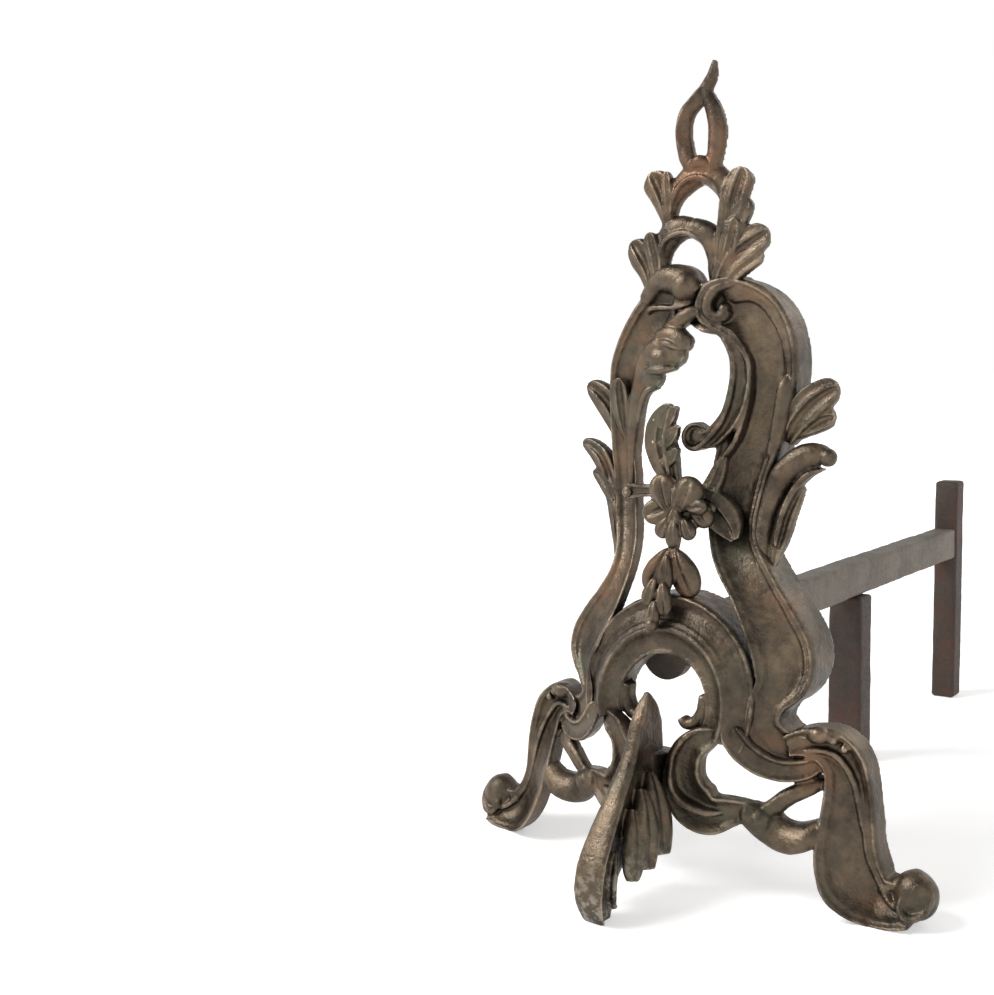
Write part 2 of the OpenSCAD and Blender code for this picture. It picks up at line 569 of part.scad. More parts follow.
module rear_post() {
    color(rust_iron)
        translate([0, post_y + post_depth / 2 - centre_y, 0])
            difference() {
                billet(post_width, post_depth, post_height);
                translate([-tenon_w / 2 - fit_gap, -post_depth, pad_z - tenon_h / 2 - fit_gap])
                    cube([tenon_w + 2 * fit_gap, 2 * post_depth, tenon_h + 2 * fit_gap]);
            }
}

// Slotted screw pointing along -y, head seated at the origin
module screw(grip) {
    difference() {
        union() {
            rotate([90, 0, 0]) cylinder(d = screw_size, h = grip, $fn = 48);
            rotate([-90, 0, 0]) cylinder(d = 1.8 * screw_size, h = 0.6 * screw_size, $fn = 48);
        }
        translate([-screw_size, 0.35 * screw_size, -0.6]) cube([2 * screw_size, screw_size, 1.2]);
    }
}

module plate_screws() {
    color(rust_iron)
        for (s = [-1, 1])
            translate([s * ear_x, plate_back - centre_y, screw_z]) screw(plate_depth + screw_grip - 1);
}

module console_screw() {
    color(rust_iron)
        translate([0, seat_y + web_depth - centre_y, seat_z]) screw(web_depth + screw_grip - 1);
}

// Round-headed rivet pointing along +y, head seated at the origin
module rivet() {
    rotate([-90, 0, 0]) cylinder(d = rivet_size, h = lug_depth + rivet_grip - 0.5, $fn = 32);
    rotate([90, 0, 0])
        rotate_extrude($fn = 32)
            polygon([[0, 0], [0.95 * rivet_size, 0], [0.86 * rivet_size, 0.34 * rivet_size],
                     [0.5 * rivet_size, 0.62 * rivet_size], [0, 0.7 * rivet_size]]);
}

module spray_rivets() {
    color(bronze)
        for (s = spray_lugs)
            translate([s[0] * wide, s[2] - lug_depth - centre_y, s[1] * tall]) rivet();
}

front_casting();
console_foot();
flower_spray();
fixing_plate();
billet_bar();
mid_foot();
rear_post();
plate_screws();
console_screw();
spray_rivets();
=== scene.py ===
import bpy
import math
from mathutils import Matrix, Vector, noise


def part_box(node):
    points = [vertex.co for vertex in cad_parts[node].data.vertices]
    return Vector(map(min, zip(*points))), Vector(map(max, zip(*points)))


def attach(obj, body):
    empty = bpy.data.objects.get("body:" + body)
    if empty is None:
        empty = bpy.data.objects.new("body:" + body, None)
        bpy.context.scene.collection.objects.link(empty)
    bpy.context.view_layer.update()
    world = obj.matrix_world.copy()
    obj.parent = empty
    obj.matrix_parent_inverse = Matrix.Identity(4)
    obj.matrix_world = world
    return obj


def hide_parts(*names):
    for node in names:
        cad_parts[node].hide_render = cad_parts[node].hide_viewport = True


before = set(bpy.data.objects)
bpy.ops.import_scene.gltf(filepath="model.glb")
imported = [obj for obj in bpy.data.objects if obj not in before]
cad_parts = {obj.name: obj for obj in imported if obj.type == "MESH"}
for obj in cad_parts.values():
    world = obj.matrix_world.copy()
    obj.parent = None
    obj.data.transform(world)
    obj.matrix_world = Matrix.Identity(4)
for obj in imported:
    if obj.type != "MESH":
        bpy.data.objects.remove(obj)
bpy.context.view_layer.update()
print("frame loaded")

mm = 0.001
centreY = 158.971   # carries the drawing of the front to the middle of the floor plan, mm
wallThickness = 4.5
meltReach = 7   # how far from its ends a melted strip sinks in, mm
broadWave, fineWave = 9, 3.5   # unevenness of the cast skins, mm
# the front bulges forward low down and in the middle, and its feet and the knees of its legs kick out, mm
bowed = {"depth": 34, "upperBack": 10, "riseFrom": 80, "riseOver": 120, "sideReach": 90, "sideCurve": 1.5,
         "upperFlat": 0.6, "footOut": 16, "footTop": 40, "kneeOut": 16, "kneeTop": 70, "kneeOver": 50,
         "kneeInner": 50, "innerOver": 25, "kneeOuter": 104, "outerOver": 24}


# The front is drawn flat, x across and z up in mm, and laid over this bowed surface
def ease(v):
    c = min(max(v, 0.0), 1.0)
    return c * c * (3 - 2 * c)


def bow(x, z):
    b, across = bowed, abs(x)
    rise = ease((z - b["riseFrom"]) / b["riseOver"])
    side = ease(across / b["sideReach"]) ** b["sideCurve"]
    curve = (1 - b["upperFlat"] * rise) * b["depth"] * side
    place = -b["depth"] + (b["depth"] + b["upperBack"]) * rise + curve
    place -= b["footOut"] * max(0.0, 1 - z / b["footTop"]) ** 2
    inner = ease((across - b["kneeInner"]) / b["innerOver"])
    outer = ease((b["kneeOuter"] - across) / b["outerOver"])
    return place - b["kneeOut"] * ease((b["kneeTop"] - z) / b["kneeOver"]) * inner * outer


def onBow(x, z, y=0.0):
    return Vector((x, bow(x, z) + y - centreY, z)) * mm


def smoothRows(rows, steps):
    # curve through the rows, with some steps between each two
    path = []
    last = len(rows) - 1
    for i in range(last):
        a, b, c, d = rows[max(i - 1, 0)], rows[i], rows[i + 1], rows[min(i + 2, last)]
        for k in range(steps):
            t = k / steps
            path.append([(2 * q + (r - p) * t + (2 * p - 5 * q + 4 * r - s) * t * t
                          + (3 * q - p - 3 * r + s) * t ** 3) / 2 for p, q, r, s in zip(a, b, c, d)])
    path.append(list(rows[last]))
    return path


def heading(path, i, sides=(1, 1)):
    # unit direction of a path at one of its points
    a, b = path[max(i - 1, 0)], path[min(i + 1, len(path) - 1)]
    return Vector([s * (q - p) for s, p, q in zip(sides, a, b)]).normalized()


def deselectAll():
    if bpy.context.mode != "OBJECT":
        bpy.ops.object.mode_set(mode="OBJECT")
    bpy.ops.object.select_all(action="DESELECT")


def unitCube(place=(0, 0, 0)):
    deselectAll()
    bpy.ops.mesh.primitive_cube_add(size=1, location=place)
    return bpy.context.object


def unitBall(segments, rings):
    deselectAll()
    bpy.ops.mesh.primitive_uv_sphere_add(segments=segments, ring_count=rings, radius=1)
    return bpy.context.object


# Wax work: strips, bosses and petals that are cast together
def wrapGrid(table):
    # a grid primitive whose points go to the places in the table, seam welded and ends closed
    along, around = len(table), len(table[0])
    deselectAll()
    bpy.ops.mesh.primitive_grid_add(x_subdivisions=along - 1, y_subdivisions=around, size=2)
    strip = bpy.context.object
    for v in strip.data.vertices:
        i = round((v.co.x + 1) / 2 * (along - 1))
        j = round((v.co.y + 1) / 2 * around) % around
        v.co = table[i][j]
    bpy.ops.object.mode_set(mode="EDIT")
    bpy.ops.mesh.select_all(action="SELECT")
    bpy.ops.mesh.remove_doubles(threshold=2e-6)
    bpy.ops.mesh.fill_holes(sides=0)
    bpy.ops.mesh.normals_make_consistent(inside=False)
    bpy.ops.object.mode_set(mode="OBJECT")
    return strip


def shapeEnds(path, melt, blunt):
    # melt sinks both ends into the metal round them, blunt rounds off the far end like a fingertip
    along = [0.0]
    for a, b in zip(path, path[1:]):
        along.append(along[-1] + math.hypot(b[0] - a[0], b[1] - a[1]))
    total, tip = along[-1], path[-1][2] * 0.9
    for r, d in zip(path, along):
        if melt:
            near = max(0.0, 1 - min(d, total - d) / meltReach) ** 2
            r[4] += melt * near
            r[2] *= 1 - 0.5 * near
        if blunt and total - d < tip:
            r[2] *= max(0.3, math.sqrt(1 - (1 - (total - d) / tip) ** 2))


def sweep(rows, section, steps=6, melt=0.0, blunt=False):
    # a strip through rows of [x, z, half width, depth, lift] on the bowed surface
    path = smoothRows(rows, steps)
    shapeEnds(path, melt, blunt)
    table = []
    for i, r in enumerate(path):
        run = heading(path, i)
        nx, nz = -run.y, run.x
        w = r[2]
        ring = []
        for u, f in section[0]:
            ring.append(onBow(r[0] + nx * u * w, r[1] + nz * u * w, r[4] + f * w))
        for u, f, b in section[1]:
            back = (1 - b) * wallThickness + b * (r[3] - f * r[2])
            ring.append(onBow(r[0] + nx * u * w, r[1] + nz * u * w, r[4] + f * w + back))
        table.append(ring)
    return wrapGrid(table)


def boss(x, z, r, lift, depth, wide=1.0, tall=1.0):
    # a ball on the bowed surface whose back half runs back to a depth
    ball = unitBall(24, 16)
    place = onBow(x, z, lift)
    for v in ball.data.vertices:
        px, py, pz = v.co.x * r * wide, v.co.y * r, v.co.z * r * tall
        if py > 0:
            py += max(depth - 1.6 * r, 0) * min(1, py / (0.4 * r))
        v.co = place + Vector((px, py + r, pz)) * mm
    return ball


def petal(x, z, turn, length, width, lift, thick, cup, fold):
    # an egg-shaped petal from its root, turned from straight up: tip cupped forward, a crease down its face
    leafShape = unitBall(32, 20)
    place = onBow(x, z, lift)
    c, s = math.cos(math.radians(turn)), math.sin(math.radians(turn))
    for v in leafShape.data.vertices:
        t = (v.co.z + 1) / 2
        swell = 0.5 + 0.9 * t - 0.36 * t * t
        px = v.co.x * width / 2 * swell
        pz = t * length
        crease = fold * max(0.0, 1 - abs(v.co.x) / 0.3) * min(1.0, 3 * (1 - t)) * (1 if v.co.y < 0 else 0)
        py = v.co.y * thick / 2 - cup * t * t - cup * 0.5 * (v.co.x * swell) ** 2 * t + crease
        v.co = place + Vector((px * c + pz * s, py, pz * c - px * s)) * mm
    return leafShape


def tube(points, steps=6, around=16):
    # a round strand through [x, y, z, radius], straight in the front's frame
    path = smoothRows(points, steps)
    last = len(path) - 1
    table = []
    side = None
    for i, p in enumerate(path):
        a, b = path[max(i - 1, 0)], path[min(i + 1, last)]
        run = Vector(b[:3]) - Vector(a[:3])
        run.normalize()
        if side is None:
            side = run.cross(Vector((0, 1, 0)))
            if side.length < 0.1:
                side = run.cross(Vector((1, 0, 0)))
        side = (side - run * side.dot(run)).normalized()
        up = side.cross(run)
        ring = []
        for k in range(around):
            q = 2 * math.pi * k / around
            spot = Vector(p[:3]) + (side * math.cos(q) + up * math.sin(q)) * p[3]
            ring.append(Vector((spot.x, spot.y - centreY, spot.z)) * mm)
        table.append(ring)
    return wrapGrid(table)


def mirrored(part):
    deselectAll()
    part.select_set(True)
    bpy.context.view_layer.objects.active = part
    bpy.ops.object.duplicate()
    other = bpy.context.object
    for v in other.data.vertices:
        v.co.x = -v.co.x
    bpy.ops.object.mode_set(mode="EDIT")
    bpy.ops.mesh.select_all(action="SELECT")
    bpy.ops.mesh.flip_normals()
    bpy.ops.object.mode_set(mode="OBJECT")
    return other


def castTogether(name, parts, voxel=0.8, relax=3, factor=0.5, wobble=0.22):
    # runs the parts into one skin as the mould does, eases the steps out of it and leaves it a little uneven
    deselectAll()
    for p in parts:
        p.select_set(True)
    bpy.context.view_layer.objects.active = parts[0]
    if len(parts) > 1:
        bpy.ops.object.join()
    piece = bpy.context.object
    piece.name = name
    piece.data.name = name
    skin = piece.modifiers.new("skin", "REMESH")
    skin.mode = "VOXEL"
    skin.voxel_size = voxel * mm
    bpy.ops.object.modifier_apply(modifier="skin")
    calm = piece.modifiers.new("calm", "SMOOTH")
    calm.factor = factor
    calm.iterations = relax
    bpy.ops.object.modifier_apply(modifier="calm")
    outward = [v.normal.copy() for v in piece.data.vertices]
    for v, normal in zip(piece.data.vertices, outward):
        spot = v.co / mm
        uneven = 0.5 + noise.noise(spot / broadWave) + 0.5 * noise.noise(spot / fineWave)
        v.co -= normal * wobble * mm * uneven
        v.co.z = max(v.co.z, 0.0)
    bpy.ops.object.shade_smooth()
    print(name, "cast,", len(piece.data.polygons), "faces")
    return piece


# Sections run round a strip, front then back. Front: place across and setback, both in half widths.
# Back: the same two, then the share of the strip's depth
def channelSection(left, right):
    front = [(-1, 0.2), (-0.97, 0.07), (-0.91, 0), (-0.85, 0.01), (-0.8, 0.08), (-0.76, 0.15), (-0.72, 0.12),
             (-0.67, 0.11), (-0.62, 0.19), (-0.54, 0.3), (-0.4, 0.38), (-0.2, 0.42), (0, 0.43), (0.2, 0.42),
             (0.4, 0.38), (0.54, 0.3), (0.62, 0.19), (0.67, 0.11), (0.72, 0.12), (0.76, 0.15), (0.8, 0.08),
             (0.85, 0.01), (0.91, 0), (0.97, 0.07), (1, 0.2)]
    back = [(1, 0.2, right * 0.5), (1, 0.2, right), (0.9, 0.14, right), (0.74, 0.2, right * 0.9),
            (0.64, 0.25, 0.2 if right > 0.5 else 0.12), (0.5, 0.3, 0.1), (0, 0.43, 0.05), (-0.5, 0.3, 0.1),
            (-0.64, 0.25, 0.2 if left > 0.5 else 0.12), (-0.74, 0.2, left * 0.9), (-0.9, 0.14, left),
            (-1, 0.2, left), (-1, 0.2, left * 0.5)]
    return front, back


legSection = (
    channelSection(1, 1)[0],
    [(1, 0.2, 0.5), (1, 0.2, 1), (0.5, 0.3, 1), (0, 0.4, 1), (-0.5, 0.3, 0.9), (-1, 0.2, 0.8),
     (-1, 0.2, 0.4)])
shellSection = (
    [(-1, 0.5), (-0.95, 0.24), (-0.86, 0.05), (-0.76, 0), (-0.66, 0.08), (-0.58, 0.22), (-0.4, 0.36),
     (-0.15, 0.42), (0.15, 0.42), (0.4, 0.36), (0.58, 0.22), (0.66, 0.08), (0.76, 0), (0.86, 0.05),
     (0.95, 0.24), (1, 0.5)],
    [(1, 0.5, 0.6), (0.9, 0.4, 1), (0.4, 0.4, 1), (-0.4, 0.4, 1), (-0.9, 0.4, 1), (-1, 0.5, 0.6)])
rollSection = (
    [(u, 1 - math.sqrt(1 - 0.96 * u * u))
     for u in (-1, -0.9, -0.75, -0.55, -0.3, 0, 0.3, 0.55, 0.75, 0.9, 1)],
    [(1, 0.8, 0.7), (0.85, 0.8, 1), (0.3, 0.8, 1), (-0.3, 0.8, 1), (-0.85, 0.8, 1), (-1, 0.8, 0.7)])
bladeSection = (
    [(-1, 0.42), (-0.93, 0.18), (-0.8, 0.06), (-0.62, 0.1), (-0.38, 0.26), (-0.14, 0.36), (0.01, 0.33),
     (0.1, 0.14), (0.18, 0.03), (0.28, 0.06), (0.48, 0.18), (0.68, 0.23), (0.84, 0.18), (0.94, 0.24),
     (1, 0.42)],
    [(1, 0.42, 0.5), (0.8, 0.4, 0.9), (0.3, 0.4, 1), (-0.3, 0.4, 1), (-0.8, 0.4, 0.9), (-1, 0.42, 0.5)])
petalSection = (
    [(u, f * 0.55) for u, f in bladeSection[0]],
    [(u, f * 0.55, b) for u, f, b in bladeSection[1]])
coveSection = (
    [(-1, 0.3), (-0.9, 0.1), (-0.76, 0.14), (-0.5, 0.4), (-0.2, 0.52), (0.2, 0.52), (0.5, 0.4), (0.76, 0.14),
     (0.9, 0.1), (1, 0.3)],
    [(1, 0.3, 0.6), (0.8, 0.4, 1), (0.3, 0.4, 1), (-0.3, 0.4, 1), (-0.8, 0.4, 1), (-1, 0.3, 0.6)])
slopeSection = (
    [(-1, 0.75), (-0.9, 0.62), (-0.6, 0.5), (-0.2, 0.32), (0.2, 0.2), (0.6, 0.1), (0.85, 0.02), (1, 0.2)],
    [(1, 0.4, 0.6), (0.5, 0.5, 1), (-0.5, 0.6, 1), (-1, 0.8, 0.6)])
bellSection = (
    [(-1, 1), (-0.96, 0.72), (-0.85, 0.42), (-0.66, 0.22), (-0.42, 0.1), (-0.2, 0.04), (0, 0.02), (0.2, 0.04),
     (0.42, 0.1), (0.66, 0.22), (0.85, 0.42), (0.96, 0.72), (1, 1)],
    [(1, 1, 0.8), (0.6, 0.9, 1), (-0.6, 0.9, 1), (-1, 1, 0.8)])
archSection = (
    [(-1, 0.72), (-0.97, 0.62), (-0.92, 0.58), (-0.88, 0.6), (-0.84, 0.62), (-0.7, 0.56), (-0.5, 0.44),
     (-0.3, 0.24), (-0.2, 0.1), (-0.12, 0.02), (-0.05, 0), (0.01, 0.05), (0.05, 0.13), (0.1, 0.08),
     (0.16, 0.08), (0.21, 0.2), (0.26, 0.17), (0.4, 0.22), (0.55, 0.25), (0.68, 0.22), (0.73, 0.15),
     (0.77, 0.14), (0.81, 0.17), (0.85, 0.05), (0.9, 0), (0.96, 0.02), (1, 0.14)],
    [(1, 0.14, 1), (0.8, 0.2, 0.9), (0.6, 0.24, 0.3), (0, 0.3, 0.2), (-0.5, 0.42, 0.4), (-0.8, 0.5, 0.9),
     (-1, 0.66, 1)])


lyre = {
    "bigRows": [
        [-7, 277, 3, 12, 2], [-4, 279, 8, 14, 1], [1, 281, 11.5, 16, 0], [9, 282, 13.5, 18, 0],
        [21, 281, 14.5, 19, 0], [31, 274, 15.2, 19, 0], [36.5, 260, 14.8, 19, 0], [36.5, 242, 14.2, 19, 0],
        [30, 221, 15.6, 19, 0], [24, 201, 14.6, 20, 0], [22, 180, 13, 21, 0], [26, 164, 11.6, 22, 0],
        [38, 147, 10.6, 23, 0], [48, 132, 11.4, 25, 0], [56, 117, 12.5, 25, 0], [57, 105, 11.5, 25, 0],
        [52, 95, 8, 23, 0.5], [51, 85, 7, 20, 1], [57, 76, 7.5, 18, 1.5], [66, 73, 7, 16, 2]],
    "headCoil": [
        [22, 293.4, 1.6, 14, 0.4], [13, 291.4, 2.6, 15, -0.8], [8.2, 287.8, 3, 16, -1.2],
        [6.6, 283.2, 3, 16, -1.4], [7.8, 279, 3, 16, -1.4], [11.2, 276.8, 2.9, 16, -1.2],
        [15, 277.2, 2.6, 16, -0.4], [17.2, 280, 2.2, 16, 0.8]],
    "innerRidge": [
        [24, 296, 0.8, 12, 0.6], [12, 294.6, 1.1, 13, -0.6], [5.4, 291.3, 1.2, 14, -0.8],
        [2.1, 285.8, 1.3, 14, -0.8], [1.7, 279.3, 1.3, 14, -0.8], [4.5, 275.1, 1.3, 14, -0.8],
        [9.1, 272.5, 1.3, 14, -0.6], [14.4, 269.9, 1.3, 14, -0.6], [19.7, 266.5, 1.3, 14, -0.6],
        [24.8, 261.6, 1.4, 14, -0.8], [28.2, 255.9, 1.4, 14, -0.8], [29.3, 247.8, 1.4, 14, -1],
        [28.5, 237.4, 1.4, 14, -1], [25.7, 226.8, 1.4, 14, -1], [22.3, 217, 1.4, 14, -1],
        [15.4, 207, 1.3, 14, -0.6], [9, 199, 0.9, 14, 0.4]],
    "openingRidge": [
        [12.4, 269.8, 1, 12, -0.6], [17.1, 265, 1.4, 13, -1.4], [20.6, 258.4, 1.6, 13, -2],
        [21.8, 251.2, 1.7, 13, -2.6], [21.4, 243.9, 1.7, 13, -3.4], [19.7, 235.8, 1.7, 13, -3.8],
        [16.6, 227.6, 1.7, 13, -3.8], [12.7, 221.8, 1.7, 13, -3.8], [7.2, 215.9, 1.6, 13, -3.8],
        [1.6, 212.4, 1.5, 12, -3.8], [-3.2, 214.4, 1.3, 11, -3.8], [-4.4, 219.4, 1.2, 10, -3.8],
        [-1.4, 223.8, 1.1, 9, -3.6], [3.4, 224.4, 1, 8, -3], [6.2, 221.4, 0.8, 8, -2.4]],
    "cove": [
        [12, 271.5, 2.6, 14, 0], [18, 267.5, 3.6, 14, -0.4], [23, 260, 4.4, 15, -0.8],
        [25.2, 251, 4.8, 15, -1.6], [24.8, 242, 5, 16, -2.4], [22.2, 233, 5.2, 16, -2.6],
        [17.4, 225, 5.2, 16, -2.6], [10, 218, 5, 15, -2.6], [3, 216, 4, 14, -2]],
    "outerSlope": [
        [14, 287.6, 4, 9, 1.6], [20, 288.6, 5, 9, 1], [28, 288.8, 4.8, 9, 0.6], [35, 285.6, 4.6, 9, 0.6],
        [40.6, 279, 4.4, 9, 0.6], [45, 270, 3.9, 9, 0.6], [47.3, 261, 3.4, 9, 0.8], [47.8, 252, 2.6, 8, 1],
        [47, 246, 1.6, 7, 1.6]],
    "rimSwelling": [
        [47, 250, 1.2, 8, 0.6], [46.6, 246, 3, 8, -1], [46, 240, 4.4, 8, -2], [44, 230, 4, 8, -1.5],
        [41, 218, 2.8, 8, -0.5], [38, 205, 1.4, 6, 0.4]],
    "smallRows": [
        [-6, 287, 3, 14, 0], [-13, 290, 6.4, 15, 0], [-23, 280, 12.3, 18, 0], [-34, 268, 12.2, 19, 0],
        [-43, 254, 10.8, 19, 0], [-46, 238, 9.2, 19, 0], [-46, 220, 8.4, 19, 0], [-44, 199, 8.4, 20, 0],
        [-41, 179, 7.8, 21, 0], [-37, 163, 7.4, 22, 0], [-37, 149, 7.6, 23, 0], [-42, 134, 9.8, 25, 0],
        [-50, 120, 12.5, 25, 0], [-55, 108, 12.5, 25, 0], [-50, 96, 6.5, 20, 0.5], [-46, 87, 5.5, 18, 1],
        [-52, 78, 6.5, 16, 1.5], [-62, 74, 6.5, 14, 2]],
    "smallRoll": [
        [-31, 287, 4, 12, 0], [-22, 296, 6, 14, -2], [-13, 297, 7.5, 15, -4], [-5, 294, 8, 15, -4],
        [1, 289, 4, 14, -2]],
    "smallRidge": [
        [-31, 279, 0.8, 8, 1], [-26, 282.6, 1.2, 8, -0.6], [-19, 283, 1.3, 9, -1], [-12, 282.6, 1.3, 9, -1],
        [-5, 283.6, 1.3, 9, -1], [1, 286.6, 1, 8, -0.4]],
    # eyes of the volutes as x, z, radius, lift, depth
    "innerEye": [1.4, 218.4, 6.6, -2.2, 12], "headEye": [15, 280.8, 3.2, 0, 14],
    "smallEye": [-5, 293, 8, -6, 12],
    "thinRim": 0.15, "grid": 0.7,
}


def makeLyre():
    # each scroll keeps its deep rim outside and a thin one towards the opening
    bigScroll = [sweep(lyre["bigRows"], channelSection(lyre["thinRim"], 1), 8),
                 sweep(lyre["cove"], coveSection, 8),
                 boss(*lyre["innerEye"]),
                 sweep(lyre["outerSlope"], slopeSection, 8, melt=2),
                 sweep(lyre["headCoil"], rollSection, 8),
                 boss(*lyre["headEye"]),
                 sweep(lyre["innerRidge"], rollSection, melt=2.5),
                 sweep(lyre["openingRidge"], rollSection, melt=2.5),
                 sweep(lyre["rimSwelling"], rollSection, 8, melt=4)]
    smallScroll = [sweep(lyre["smallRows"], channelSection(1, lyre["thinRim"]), 8),
                   sweep(lyre["smallRoll"], rollSection, 8),
                   boss(*lyre["smallEye"]),
                   sweep(lyre["smallRidge"], rollSection, melt=6)]
    return [castTogether("big_scroll", bigScroll, lyre["grid"]),
            castTogether("small_scroll", smallScroll, lyre["grid"])]


arch = {
    "radius": 35.5, "crown": 1.5, "half": 11.5, "grow": 3, "depth": 23, "springZ": 90,
    "from": 200, "to": -25, "step": 4,   # degrees round the arch, left to right
    "lip": [
        [22, 96, 3, 9, 8], [22, 89, 3.4, 9, 8], [19, 83, 3.4, 9, 8], [14, 81, 2.6, 8, 8],
        [11, 84, 1.8, 7, 8]],
    "grid": 0.8,
}


def makeArch():
    rows = []
    for k in range(arch["from"], arch["to"], -arch["step"]):
        t = math.sin(math.radians(min(max(k, 0), 180)))
        r = arch["radius"] + t * arch["crown"]
        q = math.radians(k)
        rows.append([r * math.cos(q), arch["springZ"] + r * math.sin(q), arch["half"] + arch["grow"] * t,
                     arch["depth"], 0])
    parts = [sweep(rows, archSection, 2), sweep(arch["lip"], rollSection)]
    parts.append(mirrored(parts[1]))
    return castTogether("arch", parts, arch["grid"])


base = {
    "cScroll": [
        [33, 80, 4, 10, 1], [26, 77, 6, 10, 0], [19, 71, 7.6, 10, 0], [15.6, 60.5, 9.4, 10, 0],
        [16.6, 50.5, 11.6, 10, 0], [21.6, 43.6, 12.2, 10, 0], [29, 40.4, 10.4, 10, 0],
        [37, 41.8, 7.6, 10, 0.4], [43, 42.4, 5.4, 9, 1.4], [48, 41, 3, 8, 3]],
    "cRidge": [
        [24, 81, 1, 6, 0.6], [17.9, 77, 1.2, 7, -0.4], [12.4, 68.6, 1.3, 7, -0.4], [10.4, 60, 1.4, 7, -0.4],
        [11, 51.6, 1.5, 7, -0.6], [14.6, 46.4, 1.6, 7, -0.6], [20, 43.4, 1.8, 7, -0.6],
        [27.3, 41.2, 2, 7, -0.4], [34, 41.4, 1.6, 7, 0.4]],
    "brace": [
        [40, 45, 2.4, 7, 3], [44, 43, 5, 9, 0.6], [49, 38.5, 7.4, 10, -0.6], [57, 32.6, 8, 10, -0.6],
        [66, 32.4, 6.8, 10, 0], [76, 36.6, 5.6, 10, 0], [81, 42, 4, 10, 0]],
    "strut": [
        [46, 40, 2.4, 7, 3], [50, 41.6, 3.8, 8, 1.4], [55, 45.2, 4.2, 8, 0.6], [61, 50.4, 4.2, 8, 0.4],
        [68, 54.6, 4, 8, 0.4], [76, 58, 3.4, 9, 1]],
    "sweepUp": [
        [37.4, 86, 2.6, 13, 3], [38, 82, 5, 13, -0.6], [43.4, 73.4, 5.8, 12, -1.4], [51, 66.6, 5.8, 12, -1.5],
        [59, 63.6, 5.6, 12, -1.5], [67, 64, 5.2, 12, -1], [75, 67, 4, 11, 0]],
    "leg": [
        [60, 75, 5, 14, 0], [68, 77, 7, 14, 0], [77, 75, 9, 15, 0], [84, 68, 10, 15, 0],
        [87, 56, 10.8, 14, 0], [88, 42, 11.6, 14, 0], [89, 29, 12.2, 14, 0], [93, 18, 12, 15, 0],
        [101, 10.4, 10.6, 14, 0], [110, 9.4, 9.6, 12, 0], [118, 11, 9.4, 11, 0]],
    "toeSpiral": [
        [103, 12.6, 1.4, 6, 0.8], [108.6, 16.6, 1.7, 6, 0.4], [113, 20.6, 1.8, 6, 1.4],
        [118.5, 22.4, 1.8, 6, 2.4], [124.2, 19.6, 1.8, 6, 1.4], [126.6, 13.6, 1.7, 6, 0.8],
        [123.4, 7.6, 1.7, 6, 0.2], [118, 6.2, 1.6, 6, -0.7], [114.4, 9.8, 1.6, 6, -1.6],
        [115.6, 14.6, 1.5, 6, -2.3], [119.4, 15.4, 1.4, 6, -2.5]],
    "legRidge": [
        [64, 70, 1, 6, 0.8], [69, 73, 1.3, 7, 0], [76, 73, 1.5, 7, 0], [82, 69.4, 1.6, 8, 0.4],
        [88.6, 59.6, 1.7, 8, 1], [92.6, 48, 1.8, 8, 1.4], [95.4, 38, 1.8, 8, 1.6], [98, 27, 1.8, 8, 1.4],
        [103.6, 16.4, 1.7, 8, 1], [110, 10, 1.6, 8, 0.4], [117, 8.6, 1.4, 8, -0.6]],
    # balls as x, z, radius, lift, depth, wide, tall
    "braceEnd": [49, 38, 7.2, -2.4, 10], "toe": [118.5, 13, 10.3, -1.8, 10, 1, 1.12],
    "beads": [[73, 81, 4.2, -3, 10, 1.3], [79, 79, 2.6, -2, 7], [84, 75, 2, -1, 6]],
    "lyreFoot": [62, 104, 6, 8, 18],
    "web": {"width": 32, "seat": -26, "thick": 10, "middleZ": 52, "tall": 28, "grid": 1.0, "relax": 4},
    "grid": 0.75,
}


def makeBase():
    parts = [sweep(base["cScroll"], coveSection, 8, melt=3),
             sweep(base["cRidge"], rollSection, melt=3),
             boss(*base["braceEnd"]),
             sweep(base["brace"], rollSection, melt=3),
             sweep(base["strut"], rollSection, melt=3),
             sweep(base["sweepUp"], shellSection, melt=4),
             sweep(base["leg"], legSection, 8),
             sweep(base["legRidge"], rollSection, melt=2),
             boss(*base["toe"]),
             sweep(base["toeSpiral"], rollSection, melt=2)]
    parts += [boss(*b) for b in base["beads"]]
    parts += [boss(*base["lyreFoot"])]
    others = [mirrored(p) for p in parts]
    right = castTogether("base_right", parts, base["grid"])
    left = castTogether("base_left", others, base["grid"])
    block = unitCube()
    web = base["web"]
    for v in block.data.vertices:
        v.co = Vector((v.co.x * web["width"], web["seat"] + (v.co.y + 0.5) * web["thick"] - centreY,
                       web["middleZ"] + v.co.z * web["tall"])) * mm
    return [right, left, castTogether("base_web", [block], web["grid"], web["relax"])]


